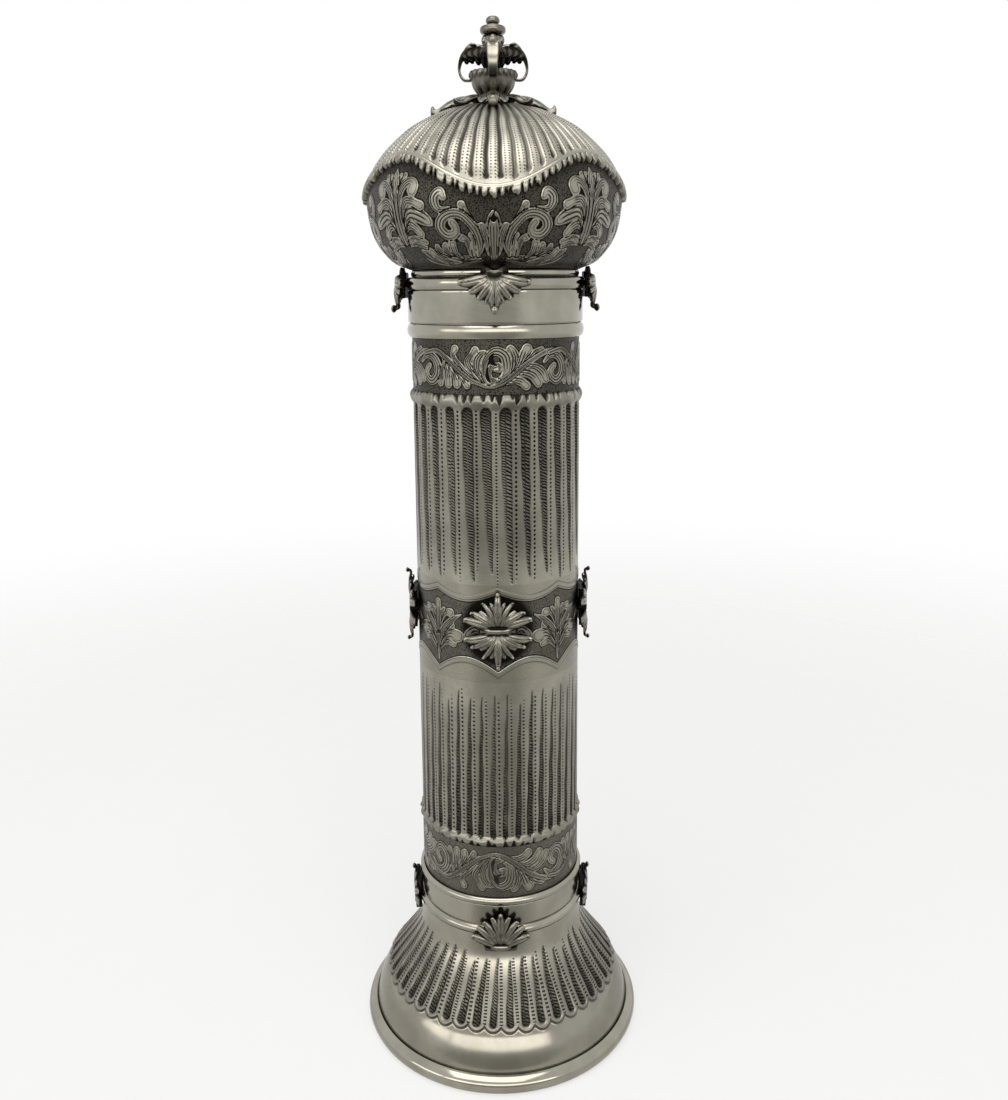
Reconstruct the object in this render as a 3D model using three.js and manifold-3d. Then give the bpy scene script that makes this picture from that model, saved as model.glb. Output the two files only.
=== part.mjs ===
// A tall silver case for a rolled megillah scroll: a round fluted foot, a chased tube and a domed lid that lifts off.
// Millimetres, +Z up. The origin is the centre of the foot's underside, and the front faces -Y.

import * as THREE from 'three';
import { mergeVertices } from 'three/addons/utils/BufferGeometryUtils.js';
import Module from 'manifold-3d';

const wasm = await Module();
wasm.setup();

// Clearances
const fitGap = 0.3; // between a piece and the one that it is soldered to or slides in
const bezelHeadroom = 0.7; // between the tube's top edge and the lid's ring
const weldDistance = 0.0001; // vertices nearer than this are one
const halvings = 40; // steps of a search by halving

// Roundness
const roundSides = 36;
const smallSides = 16;

// Tube
const tubeRadius = 32;
const tubeWall = 1.8;
const tubeFloorThickness = 1.5;
const tubeFootRingHeight = 3.2;
const tubeFootRingRelief = 1.6; // how far it stands out from the tube
const lowerBandHeight = 21.5;
const lowerCrimpHeight = 3.5;
const lowerFlutesHeight = 60;
const middleBandHeight = 43;
const upperFlutesHeight = 64.5;
const upperCrimpHeight = 5;
const upperBandHeight = 19.5;
const crimpRelief = 1;
const crimpEdge = 0.6;
const lowerFluteCount = 42;
const upperFluteCount = 28;
const fluteDepth = 1;
const fluteWidthShare = 0.8; // of the pitch of the flutes
const mouthRingHeight = 5.2;
const mouthRingRelief = 1.6;

// A flute from its pointed end to its round end: place along its length, half width and depth
const fluteShares = [
  [0, 0.06, 0.06],
  [0.93, 1, 1],
  [1, 0.4, 0.4],
];

// Foot
const footSpread = 25; // how far the foot reaches beyond the tube
const baseRimHeight = 7;
const baseRimWidth = 3.7;
const baseRimTopWidth = 0.8;
const basePlateThickness = 1.2;
const skirtHeight = 50.8;
const skirtNeckRelief = 0.5;
const skirtWall = 1.6;
const footFluteCount = 45;
const footFluteDepth = 1;
const footRingHeight = 4;
const footRingRelief = 2.2;
const footCollarHeight = 8.8;
const footCollarRelief = 0.6;
const footCollarWall = 1.6;

// The skirt's outline from its lower edge up: height as a share of its height, radius as a share of the way
// from its neck to its lower edge, and how deep its flutes are there
const skirtOutlineShares = [
  [0, 1, 0],
  [0.114, 1, 0],
  [0.252, 0.917, 0],
  [0.341, 0.81, 0],
  [0.395, 0.712, 0],
  [0.42, 0.67, 1],
  [0.508, 0.519, 1],
  [0.616, 0.34, 0.8],
  [0.715, 0.184, 0.5],
  [0.803, 0.063, 0],
  [1, 0, 0],
];

// Lid
const lidCollarHeight = 11.7;
const lidCollarWall = 0.9;
const collarRingHeight = 4.8;
const collarRingRelief = 0.8; // beyond the collar
const neckBeadHeight = 2.5;
const neckInset = 0.2; // of the neck's bead inside the tube's surface
const neckWall = 1.2;
const bulbHeight = 58.7;
const bulbOverhang = 15.8; // of the bulb beyond its neck
const bulbWall = 1.4;
const domeFluteCount = 60; // the dome's flutes, as flat gores

// The bulb's outline. Below its widest line: radius as a share of the overhang, height as a share of its height.
// Above it: radius as a share of the bulb's radius.
const bulbLowerShares = [
  [0, 0],
  [0.358, 0.043],
  [0.618, 0.111],
  [0.787, 0.179],
  [0.956, 0.315],
];
const bulbUpperShares = [
  [1, 0.451],
  [0.96, 0.588],
  [0.845, 0.724],
  [0.658, 0.86],
  [0.504, 0.928],
  [0.336, 0.98],
  [0.17, 1],
];

// Rows of points along the outline: the dome's from the seam to the flat spot, the bowl's from the neck to the seam
const domeRowShares = [0, 0.15, 0.35, 0.6, 0.82, 1];
const bowlRowShares = [0, 0.14, 0.3, 0.5, 0.75, 1];
const innerRowShares = [1, 0.7, 0.4, 0.15, 0];

// The wavy seam where bowl and dome meet, and the crimped wire that covers it
const seamHeight = 34; // above the bulb's lower edge, on average
const seamWave = 6;
const seamDroop = 1.5; // the front hangs a little lower than the back
const seamWaveCount = 4;
const seamHalfGap = 0.2;
const rimSteps = 72;
const rimHeight = 4.6;
const rimThickness = 1.7;
const rimGap = 0.45;

// Finial, on a stud through the dome
const studRadius = 1.2;
const studThreadLength = 7;
const washerRadius = 5.5;
const washerThickness = 0.8;
const nutRadius = 3.6;
const nutHeight = 2.6;
const nutSides = 6;
const rosetteHeight = 3.2;
const rosetteRadius = 22.5;
const rosetteHubRadius = 7;
const rosetteLeafCount = 8;
const rosetteLeafWidth = 8.6;
const rosetteLeafThickness = 1.3;
const rosetteTipLift = 2.4;
const shortLeafShare = 0.87; // of the long leaves' reach
// A rosette leaf from inside the hub to its tip: place along it, half width, and lift of a turned up tip
const rosetteLeafShares = [
  [-1, 0.5, 0],
  [0, 0.7, 0],
  [0.35, 1, 0.05],
  [0.75, 0.75, 0.35],
  [1, 0.12, 1],
];
const cupHeight = 9.2;
const cupRadius = 9.1;
const cupFootRadius = 5.4;
const cupWall = 1.1;
const crownHeight = 18.2;
const crownRadius = 13;
const crownArmWidth = 7;
const crownArmThickness = 1.3;
const budHeight = 3.3;
const budRadius = 4;
const knobRingHeight = 3;
const knobRingRadius = 4.7;
const buttonHeight = 3.3;
const buttonRadius = 2.5;
const buttonNeckRadius = 1.9;
const buttonNeckHeight = 0.6;

// A crown arm from the bud down to the cup: radius as a share of the crown's radius, height as a share of the
// crown's height, and half width as a share of the arm's half width
const crownArmShares = [
  [0.17, 0.96, 0.42],
  [0.42, 0.965, 0.8],
  [0.68, 0.92, 1],
  [0.88, 0.78, 0.8],
  [0.97, 0.58, 0.62],
  [0.95, 0.44, 0.6],
  [0.85, 0.33, 0.57],
  [0.71, 0.28, 0.55],
];

// Cast leaves
const leafThickness = 1.5;
const leafStandOff = 2.6; // from the piece behind to the leaf's back at its middle
const leafCurl = 1.8; // how far the tips bend away
const bossRadius = 2.2;
const bossSides = 6;
const neckLeafWidth = 24;
const neckLeafLength = 14.5;
const neckLeafRise = 2.4; // of the root above the collar ring's top
const footLeafWidth = 22;
const footLeafLength = 15.5;
const footLeafDrop = 5; // of the root below the foot ring
const middleLeafWidth = 24;
const middleLeafUpLength = 16;
const middleLeafDownLength = 15;
const middleBarHeight = 2.2;
const middleRootHeight = 23.5; // of the bar above the lower flutes
const lobeShares = [
  // angle as a share of a right angle, length, half width as a share of the leaf's width
  [0, 1, 0.125],
  [0.37, 1, 0.12],
  [-0.37, 1, 0.12],
  [0.78, 1.05, 0.11],
  [-0.78, 1.05, 0.11],
];
// A lobe from root to tip: place along it, half width, and bend away from the piece behind
const lobeStationShares = [
  [0, 0.45, 0],
  [0.45, 1, 0.2],
  [0.8, 0.85, 0.6],
  [1, 0.12, 1],
];

// Heights of the stacked pieces above the table
const plateTop = basePlateThickness;
const skirtTop = plateTop + skirtHeight;
const footRingTop = skirtTop + footRingHeight;
const footCollarTop = footRingTop + footCollarHeight;
const tubeBottom = footCollarTop + tubeFloorThickness;
const lowerBandBottom = footCollarTop + tubeFootRingHeight;
const lowerBandTop = lowerBandBottom + lowerBandHeight;
const lowerFlutesBottom = lowerBandTop + lowerCrimpHeight;
const lowerFlutesTop = lowerFlutesBottom + lowerFlutesHeight;
const upperFlutesBottom = lowerFlutesTop + middleBandHeight;
const upperFlutesTop = upperFlutesBottom + upperFlutesHeight;
const upperBandBottom = upperFlutesTop + upperCrimpHeight;
const upperBandTop = upperBandBottom + upperBandHeight;
const mouthRingTop = upperBandTop + mouthRingHeight;
const lidBottom = mouthRingTop + fitGap;
const lidCollarTop = lidBottom + lidCollarHeight;
const tubeTop = lidCollarTop - bezelHeadroom;
const collarRingTop = lidCollarTop + collarRingHeight;
const bulbBottom = collarRingTop + neckBeadHeight;
const bulbTop = bulbBottom + bulbHeight;
const rosetteTop = bulbTop + rosetteHeight;
const cupTop = rosetteTop + cupHeight;
const crownTop = rosetteTop + crownHeight;
const budBottom = crownTop + fitGap;
const budTop = budBottom + budHeight;
const knobRingTop = budTop + knobRingHeight;
const buttonTop = knobRingTop + buttonHeight;

// Radii that follow from what fits inside what
const ringBore = tubeRadius + fitGap;
const tubeFootRingRadius = tubeRadius + tubeFootRingRelief;
const mouthRingRadius = tubeRadius + mouthRingRelief;
const footCollarRadius = tubeRadius + footCollarRelief;
const footRingRadius = tubeRadius + footRingRelief;
const skirtNeckRadius = tubeRadius + skirtNeckRelief;
const baseRimRadius = tubeRadius + footSpread;
const skirtRadius = baseRimRadius - baseRimWidth - fitGap;
const ringSeatRadius = skirtNeckRadius - skirtWall;
const lidCollarRadius = ringBore + lidCollarWall;
const collarRingRadius = lidCollarRadius + collarRingRelief;
const neckRadius = tubeRadius - neckInset;
const bulbRadius = neckRadius + bulbOverhang;
const boreRadius = studRadius + fitGap;

// Finishes
const finish = (color, roughness) => new THREE.MeshStandardMaterial({ color, roughness, metalness: 1 });
const polishedSilver = finish(0xb4aea2, 0.22);
const chasedSilver = finish(0x948e82, 0.34);
const castSilver = finish(0xa49d90, 0.3);
const plainSteel = finish(0x8a8a8c, 0.4);

const fullTurn = 2 * Math.PI;
const mix = THREE.MathUtils.lerp;

// A turned piece from [radius, height] points that close on themselves or start and end on the axis
function turned(points, sides = roundSides) {
  const closed = points[0][0] > 0 ? [...points, points[0]] : points;
  const outline = closed.map(([radius, height]) => new THREE.Vector2(radius, height));
  return new THREE.LatheGeometry(outline, sides).rotateX(Math.PI / 2);
}

// A half round wire bent to a ring, its flat side inward
function halfRoundRing(bore, radius, bottom, top) {
  const edge = mix(bore, radius, 2 / 3);
  return turned([
    [bore, bottom],
    [edge, bottom],
    [radius, mix(bottom, top, 1 / 2)],
    [edge, top],
    [bore, top],
  ]);
}

// Makes faces from a point list and a list of triangles, with the faces turned outward
function closedBody(points, triangles) {
  const volume = triangles.reduce((sum, [a, b, c]) => {
    const across = new THREE.Vector3().crossVectors(points[b], points[c]);
    return sum + points[a].dot(across);
  }, 0);
  const index = triangles.flatMap(([a, b, c]) => (volume > 0 ? [a, b, c] : [a, c, b]));
  const geometry = new THREE.BufferGeometry().setFromPoints(points);
  geometry.setIndex(index);
  return geometry;
}

// The triangles between ring after ring of equally many points
function ringTriangles(ringCount, sides, closesOnItself) {
  const triangles = [];
  const spans = closesOnItself ? ringCount : ringCount - 1;
  for (let ring = 0; ring < spans; ring++) {
    const here = ring * sides;
    const next = ((ring + 1) % ringCount) * sides;
    for (let side = 0; side < sides; side++) {
      const after = (side + 1) % sides;
      triangles.push([here + side, here + after, next + after]);
      triangles.push([here + side, next + after, next + side]);
    }
  }
  return triangles;
}

// A shell or bent ring: the rows run out along one face and back along the other
function closedRows(rows) {
  return closedBody(rows.flat(), ringTriangles(rows.length, rows[0].length, true));
}

// A solid through rings of points, flat at both ends
function loft(rings) {
  const sides = rings[0].length;
  const triangles = ringTriangles(rings.length, sides, false);
  const last = (rings.length - 1) * sides;
  for (let side = 1; side + 1 < sides; side++) {
    triangles.push([0, side + 1, side]);
    triangles.push([last, last + side, last + side + 1]);
  }
  return closedBody(rings.flat(), triangles);
}

// Solids for cutting and joining
function toSolid(geometry) {
  const bare = geometry.clone();
  bare.deleteAttribute('normal');
  bare.deleteAttribute('uv');
  const welded = mergeVertices(bare, weldDistance);
  return new wasm.Manifold(
    new wasm.Mesh({
      numProp: 3,
      vertProperties: new Float32Array(welded.attributes.position.array),
      triVerts: new Uint32Array(welded.index.array),
    }),
  );
}

function toGeometry(solid) {
  const mesh = solid.getMesh();
  const geometry = new THREE.BufferGeometry();
  geometry.setAttribute('position', new THREE.BufferAttribute(mesh.vertProperties, mesh.numProp));
  geometry.setIndex(new THREE.BufferAttribute(mesh.triVerts, 1));
  return geometry;
}

const joined = (geometries) => geometries.map(toSolid).reduce((sum, next) => sum.add(next));
const cut = (geometry, cutters) => toGeometry(toSolid(geometry).subtract(joined(cutters)));

// A point at an azimuth counted from the front towards +X
function around(azimuth, radius, height) {
  return new THREE.Vector3(radius * Math.sin(azimuth), -radius * Math.cos(azimuth), height);
}

// Foot
function baseRim() {
  const inner = baseRimRadius - baseRimWidth;
  const edge = baseRimWidth / 3;
  return turned([
    [inner, 0],
    [baseRimRadius - edge, 0],
    [baseRimRadius, baseRimHeight / 3],
    [baseRimRadius, baseRimHeight / 2],
    [inner + baseRimTopWidth + edge, baseRimHeight - edge / 2],
    [inner + baseRimTopWidth, baseRimHeight],
    [inner, baseRimHeight],
  ]);
}

function basePlate() {
  return turned([
    [0, 0],
    [skirtRadius, 0],
    [skirtRadius, plateTop],
    [0, plateTop],
  ]);
}

function footSkirt() {
  const sides = 2 * footFluteCount; // a rib and a hollow for each flute
  const row = ([heightShare, radiusShare, depthShare], inset, depth) =>
    Array.from({ length: sides }, (_, side) => {
      const hollow = side % 2 === 0 ? 0 : depth * depthShare;
      const radius = mix(skirtNeckRadius, skirtRadius, radiusShare) - inset - hollow;
      return around((fullTurn * side) / sides, radius, plateTop + skirtHeight * heightShare);
    });
  const outer = skirtOutlineShares.map((share) => row(share, 0, footFluteDepth));
  const inner = skirtOutlineShares
    .filter((_, place) => place % 2 === 0)
    .map((share) => row(share, skirtWall, 0));
  return closedRows([...outer, ...inner.reverse()]);
}

function footCollarRing() {
  return halfRoundRing(ringSeatRadius, footRingRadius, skirtTop, footRingTop);
}

function footCollar() {
  const inner = footCollarRadius - footCollarWall;
  return turned([
    [inner, footRingTop],
    [footCollarRadius, footRingTop],
    [footCollarRadius, footCollarTop],
    [inner, footCollarTop],
  ]);
}

// Tube
function tubeFootRing() {
  return halfRoundRing(ringBore, tubeFootRingRadius, footCollarTop, lowerBandBottom);
}

function tubeFloor() {
  return turned([
    [0, footCollarTop],
    [tubeRadius, footCollarTop],
    [tubeRadius, tubeBottom],
    [0, tubeBottom],
  ]);
}

function crimpOutline(bottom, top) {
  const crest = tubeRadius + crimpRelief;
  return [
    [tubeRadius, bottom],
    [crest, bottom + crimpEdge],
    [crest, top - crimpEdge],
    [tubeRadius, top],
  ];
}

// A ring of boat shaped cutters, pointed at one end and round at the other
function fluteCutters(count, pointedEnd, roundEnd) {
  const halfWidth = (fluteWidthShare * Math.PI * tubeRadius) / count;
  return Array.from({ length: count }, (_, copy) => {
    const azimuth = (fullTurn * (copy + 1 / 2)) / count;
    const rings = fluteShares.map(([place, widthShare, depthShare]) => {
      const height = mix(pointedEnd, roundEnd, place);
      const turn = (halfWidth * widthShare) / tubeRadius;
      const depth = fluteDepth * depthShare;
      return [
        around(azimuth - turn, tubeRadius, height),
        around(azimuth, tubeRadius - depth, height),
        around(azimuth + turn, tubeRadius, height),
        around(azimuth, tubeRadius + depth, height),
      ];
    });
    return loft(rings);
  });
}

function tube() {
  const inner = tubeRadius - tubeWall;
  const blank = turned([
    [inner, tubeBottom],
    [tubeRadius, tubeBottom],
    ...crimpOutline(lowerBandTop, lowerFlutesBottom),
    ...crimpOutline(upperFlutesTop, upperBandBottom),
    [tubeRadius, tubeTop],
    [inner, tubeTop],
  ]);
  return cut(blank, [
    ...fluteCutters(lowerFluteCount, lowerFlutesTop, lowerFlutesBottom),
    ...fluteCutters(upperFluteCount, upperFlutesBottom, upperFlutesTop),
  ]);
}

function mouthRing() {
  return halfRoundRing(ringBore, mouthRingRadius, upperBandTop, mouthRingTop);
}

// Lid
function lidCollar() {
  return turned([
    [ringBore, lidBottom],
    [lidCollarRadius, lidBottom],
    [lidCollarRadius, lidCollarTop],
    [ringBore, lidCollarTop],
  ]);
}

function collarRing() {
  return halfRoundRing(neckRadius - neckWall, collarRingRadius, lidCollarTop, collarRingTop);
}

function neckBead() {
  return halfRoundRing(neckRadius - neckWall, neckRadius, collarRingTop, bulbBottom);
}

const bulbOutline = new THREE.SplineCurve([
  ...bulbLowerShares.map(
    ([overhangShare, heightShare]) =>
      new THREE.Vector2(neckRadius + bulbOverhang * overhangShare, bulbBottom + bulbHeight * heightShare),
  ),
  ...bulbUpperShares.map(
    ([radiusShare, heightShare]) =>
      new THREE.Vector2(bulbRadius * radiusShare, bulbBottom + bulbHeight * heightShare),
  ),
]);

// The point at a place along the bulb's outline, moved square to it by an offset, outward when positive
function bulbPoint(place, offset) {
  const point = bulbOutline.getPoint(place);
  const along = bulbOutline.getTangent(place);
  return new THREE.Vector2(point.x + along.y * offset, point.y - along.x * offset);
}

function seamHeightAt(azimuth) {
  const wave = seamWave * Math.cos(seamWaveCount * azimuth);
  return bulbBottom + seamHeight - wave - seamDroop * Math.cos(azimuth);
}

// The place along the bulb's outline where it reaches a height
function placeAtHeight(height) {
  let low = 0;
  let high = 1;
  for (let halving = 0; halving < halvings; halving++) {
    const middle = (low + high) / 2;
    if (bulbOutline.getPoint(middle).y < height) low = middle;
    else high = middle;
  }
  return low;
}

// A row of points round the bulb, at a place along its outline for each azimuth, moved outward by an offset
function bulbRow(sides, placeAt, offset) {
  return Array.from({ length: sides }, (_, side) => {
    const azimuth = (fullTurn * side) / sides;
    const point = bulbPoint(placeAt(azimuth), offset);
    return around(azimuth, point.x, point.y);
  });
}

function levelRow(sides, radius, height) {
  return Array.from({ length: sides }, (_, side) => around((fullTurn * side) / sides, radius, height));
}

function bulbBowl() {
  const placeAt = (share) => (azimuth) => share * placeAtHeight(seamHeightAt(azimuth) - seamHalfGap);
  return closedRows([
    ...bowlRowShares.map((share) => bulbRow(roundSides, placeAt(share), 0)),
    ...innerRowShares.filter((share) => share > 0).map((share) => bulbRow(roundSides, placeAt(share), -bulbWall)),
    levelRow(roundSides, neckRadius - bulbWall, bulbBottom),
  ]);
}

function dome() {
  const placeAt = (share) => (azimuth) => mix(placeAtHeight(seamHeightAt(azimuth) + seamHalfGap), 1, share);
  return closedRows([
    ...domeRowShares.map((share) => bulbRow(domeFluteCount, placeAt(share), 0)),
    levelRow(domeFluteCount, boreRadius, bulbTop),
    levelRow(domeFluteCount, boreRadius, bulbTop - bulbWall),
    levelRow(domeFluteCount, washerRadius + fitGap, bulbTop - bulbWall),
    ...innerRowShares.filter((share) => share < 1).map((share) => bulbRow(domeFluteCount, placeAt(share), -bulbWall)),
  ]);
}

function wavyRim() {
  const half = rimHeight / 2;
  const section = [
    [-half, 0],
    [-half, rimThickness / 2],
    [-half / 3, rimThickness],
    [half / 2, rimThickness],
    [half, 0],
  ];
  const rows = section.map(([along, out]) =>
    Array.from({ length: rimSteps }, (_, step) => {
      const azimuth = (fullTurn * step) / rimSteps;
      const place = placeAtHeight(seamHeightAt(azimuth));
      const seam = bulbPoint(place, rimGap + out);
      const tangent = bulbOutline.getTangent(place);
      return around(azimuth, seam.x + tangent.x * along, seam.y + tangent.y * along);
    }),
  );
  return closedRows(rows);
}

// Finial
// The bulb's outer height at a radius, on its upper side
function heightAtRadius(radius) {
  let low = placeAtHeight(bulbBottom + seamHeight);
  let high = 1;
  for (let halving = 0; halving < halvings; halving++) {
    const middle = (low + high) / 2;
    if (bulbOutline.getPoint(middle).x > radius) low = middle;
    else high = middle;
  }
  return bulbOutline.getPoint(low).y;
}

// A leaf that lies over the dome, its tip turned up on every second leaf
function rosetteLeaf(copy) {
  const main = copy % 2 === 0;
  const flatRadius = bulbOutline.getPoint(1).x;
  const reach = main ? rosetteRadius : rosetteRadius * shortLeafShare;
  const azimuth = (fullTurn * copy) / rosetteLeafCount;
  const across = around(azimuth + fullTurn / 4, 1, 0);
  const rings = rosetteLeafShares.map(([place, widthShare, liftShare]) => {
    const radius = place < 0 ? rosetteHubRadius / 2 : mix(flatRadius, reach, place);
    const lift = fitGap + (main ? rosetteTipLift * liftShare : 0);
    const low = around(azimuth, radius, heightAtRadius(Math.max(radius, flatRadius)) + lift);
    const high = low.clone().setZ(low.z + rosetteLeafThickness);
    const half = (rosetteLeafWidth / 2) * widthShare;
    return [low.clone().addScaledVector(across, -half), low, low.clone().addScaledVector(across, half), high];
  });
  return loft(rings);
}

function rosette() {
  const hub = turned(
    [
      [0, bulbTop],
      [rosetteHubRadius, bulbTop],
      [rosetteHubRadius, bulbTop + rosetteHeight / 2],
      [cupFootRadius + fitGap, rosetteTop],
      [0, rosetteTop],
    ],
    smallSides,
  );
  const leaves = Array.from({ length: rosetteLeafCount }, (_, copy) => rosetteLeaf(copy));
  return cut(toGeometry(joined([hub, ...leaves])), [studBore(bulbTop, rosetteTop)]);
}

// A cutter for the stud's hole through a piece from one height to another
function studBore(bottom, top) {
  const overrun = top - bottom;
  return turned(
    [
      [0, bottom - overrun],
      [boreRadius, bottom - overrun],
      [boreRadius, top + overrun],
      [0, top + overrun],
    ],
    smallSides,
  );
}

function finialCup() {
  const floor = rosetteTop + cupWall;
  return turned(
    [
      [boreRadius, rosetteTop],
      [cupFootRadius, rosetteTop],
      [mix(cupFootRadius, cupRadius, 3 / 4), mix(rosetteTop, cupTop, 1 / 2)],
      [cupRadius, cupTop - cupWall],
      [cupRadius, cupTop],
      [cupRadius - cupWall, cupTop],
      [mix(cupFootRadius, cupRadius, 1 / 2), mix(floor, cupTop, 1 / 2)],
      [cupFootRadius - cupWall, floor],
      [boreRadius, floor],
    ],
    smallSides,
  );
}

function crownArm() {
  const spine = crownArmShares.map(
    ([radiusShare, heightShare]) =>
      new THREE.Vector2(crownRadius * radiusShare, rosetteTop + crownHeight * heightShare),
  );
  const rings = spine.map((point, place) => {
    const before = spine[Math.max(place - 1, 0)];
    const after = spine[Math.min(place + 1, spine.length - 1)];
    const along = after.clone().sub(before).normalize();
    const out = new THREE.Vector2(-along.y, along.x).multiplyScalar(crownArmThickness / 2);
    const half = (crownArmWidth / 2) * crownArmShares[place][2];
    const corner = (x, side) =>
      new THREE.Vector3(x, -(point.x + out.x * side), point.y + out.y * side);
    return [corner(-half, -1), corner(half, -1), corner(half, 1), corner(-half, 1)];
  });
  return loft(rings);
}

function finialBud() {
  const waist = mix(studRadius, budRadius, 1 / 2);
  return turned(
    [
      [boreRadius, budBottom],
      [waist, budBottom],
      [budRadius, mix(budBottom, budTop, 1 / 2)],
      [budRadius, mix(budBottom, budTop, 3 / 4)],
      [waist, budTop],
      [boreRadius, budTop],
    ],
    smallSides,
  );
}

function finialKnobRing() {
  return turned(
    [
      [boreRadius, budTop],
      [mix(boreRadius, knobRingRadius, 1 / 2), budTop],
      [knobRingRadius, mix(budTop, knobRingTop, 1 / 3)],
      [knobRingRadius, mix(budTop, knobRingTop, 2 / 3)],
      [mix(boreRadius, knobRingRadius, 1 / 2), knobRingTop],
      [boreRadius, knobRingTop],
    ],
    smallSides,
  );
}

function finialButton() {
  const headBottom = knobRingTop + buttonNeckHeight;
  const headHeight = buttonTop - headBottom;
  return turned(
    [
      [0, headBottom + headHeight / 2],
      [boreRadius, headBottom + headHeight / 2],
      [boreRadius, knobRingTop],
      [buttonNeckRadius, knobRingTop],
      [buttonNeckRadius, headBottom],
      [buttonRadius, headBottom + headHeight / 3],
      [buttonRadius, headBottom + headHeight / 2],
      [mix(0, buttonRadius, 2 / 3), headBottom + (headHeight * 7) / 8],
      [0, buttonTop],
    ],
    smallSides,
  );
}

const washerTop = bulbTop - bulbWall;
const nutTop = washerTop - washerThickness;

function finialStud() {
  const top = knobRingTop + buttonNeckHeight;
  const bottom = washerTop - studThreadLength;
  return turned(
    [
      [0, bottom],
      [studRadius, bottom],
      [studRadius, top],
      [0, top],
    ],
    smallSides,
  );
}

function finialWasher() {
  return turned(
    [
      [boreRadius, nutTop],
      [washerRadius, nutTop],
      [washerRadius, washerTop],
      [boreRadius, washerTop],
    ],
    smallSides,
  );
}

function finialNut() {
  const bottom = nutTop - nutHeight;
  const blank = turned(
    [
      [0, bottom],
      [nutRadius, bottom],
      [nutRadius, nutTop],
      [0, nutTop],
    ],
    nutSides,
  );
  return cut(blank, [studBore(bottom, nutTop)]);
}

// Cast leaves, each made at the front and turned to its place
// A fan of lobes from a root, up when the direction is 1 and down when it is -1
function leafFan(width, length, rootHeight, rootRadius, direction) {
  return lobeShares.map(([angleShare, lengthShare, widthShare]) => {
    const angle = (angleShare * Math.PI) / 2;
    const reach = lengthShare * mix(length, width / 2, Math.abs(Math.sin(angle)));
    const alongX = Math.sin(angle);
    const alongZ = direction * Math.cos(angle);
    const rings = lobeStationShares.map(([place, breadth, bend]) => {
      const x = alongX * reach * place;
      const z = rootHeight + alongZ * reach * place;
      const half = width * widthShare * breadth;
      const radius = rootRadius + leafCurl * bend;
      const edge = (side) => new THREE.Vector3(x + alongZ * half * side, -radius, z - alongX * half * side);
      const ridge = new THREE.Vector3(x, -(radius + leafThickness), z);
      return [edge(-1), edge(1), ridge];
    });
    return loft(rings);
  });
}

// The stub on a leaf's back that meets the piece behind it
function boss(seatRadius, leafRadius, height) {
  const length = leafRadius - seatRadius;
  const stub = new THREE.CylinderGeometry(bossRadius, bossRadius, length, bossSides);
  return stub.translate(0, -(seatRadius + length / 2), height);
}

function neckLeaf() {
  const seat = collarRingRadius + fitGap;
  const root = collarRingRadius + leafStandOff;
  const rootHeight = collarRingTop + neckLeafRise;
  const lobes = leafFan(neckLeafWidth, neckLeafLength, rootHeight, root, -1);
  const stub = boss(seat, root + leafThickness / 2, mix(lidCollarTop, collarRingTop, 1 / 2));
  return toGeometry(joined([stub, ...lobes]));
}

function footLeaf() {
  const seat = footRingRadius + fitGap;
  const root = footRingRadius + leafStandOff;
  const lobes = leafFan(footLeafWidth, footLeafLength, skirtTop - footLeafDrop, root, 1);
  const stub = boss(seat, root + leafThickness / 2, mix(skirtTop, footRingTop, 1 / 2));
  return toGeometry(joined([stub, ...lobes]));
}

function middleOrnament() {
  const seat = tubeRadius + fitGap;
  const root = tubeRadius + leafStandOff;
  const rootHeight = lowerFlutesTop + middleRootHeight;
  const up = leafFan(middleLeafWidth, middleLeafUpLength, rootHeight, root, 1);
  const down = leafFan(middleLeafWidth, middleLeafDownLength, rootHeight, root, -1);
  const bar = new THREE.BoxGeometry(middleLeafWidth / 2, leafThickness, middleBarHeight);
  bar.translate(0, -(root + leafThickness), rootHeight);
  const stub = boss(seat, root + leafThickness / 2, rootHeight);
  return toGeometry(joined([stub, bar, ...up, ...down]));
}

// The scene: every piece in its place
const megillahCase = new THREE.Group();
const lid = new THREE.Group();
megillahCase.add(lid);

function addPiece(parent, name, geometry, material) {
  const mesh = new THREE.Mesh(geometry, material);
  mesh.name = name;
  parent.add(mesh);
  return mesh;
}

// Four copies a quarter turn apart
function addFour(parent, name, geometry, material) {
  ['front', 'right', 'back', 'left'].forEach((side, quarter) => {
    addPiece(parent, `${name}_${side}`, geometry, material).rotation.z = (quarter * fullTurn) / 4;
  });
}

addPiece(megillahCase, 'base_rim', baseRim(), polishedSilver);
addPiece(megillahCase, 'base_plate', basePlate(), polishedSilver);
addPiece(megillahCase, 'foot_skirt', footSkirt(), chasedSilver);
addPiece(megillahCase, 'foot_collar_ring', footCollarRing(), polishedSilver);
addPiece(megillahCase, 'foot_collar', footCollar(), polishedSilver);
addPiece(megillahCase, 'tube_foot_ring', tubeFootRing(), polishedSilver);
addPiece(megillahCase, 'tube_floor', tubeFloor(), polishedSilver);
addPiece(megillahCase, 'tube', tube(), chasedSilver);
addPiece(megillahCase, 'mouth_ring', mouthRing(), polishedSilver);
addFour(megillahCase, 'middle_ornament', middleOrnament(), castSilver);
addFour(megillahCase, 'foot_leaf', footLeaf(), castSilver);

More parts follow.
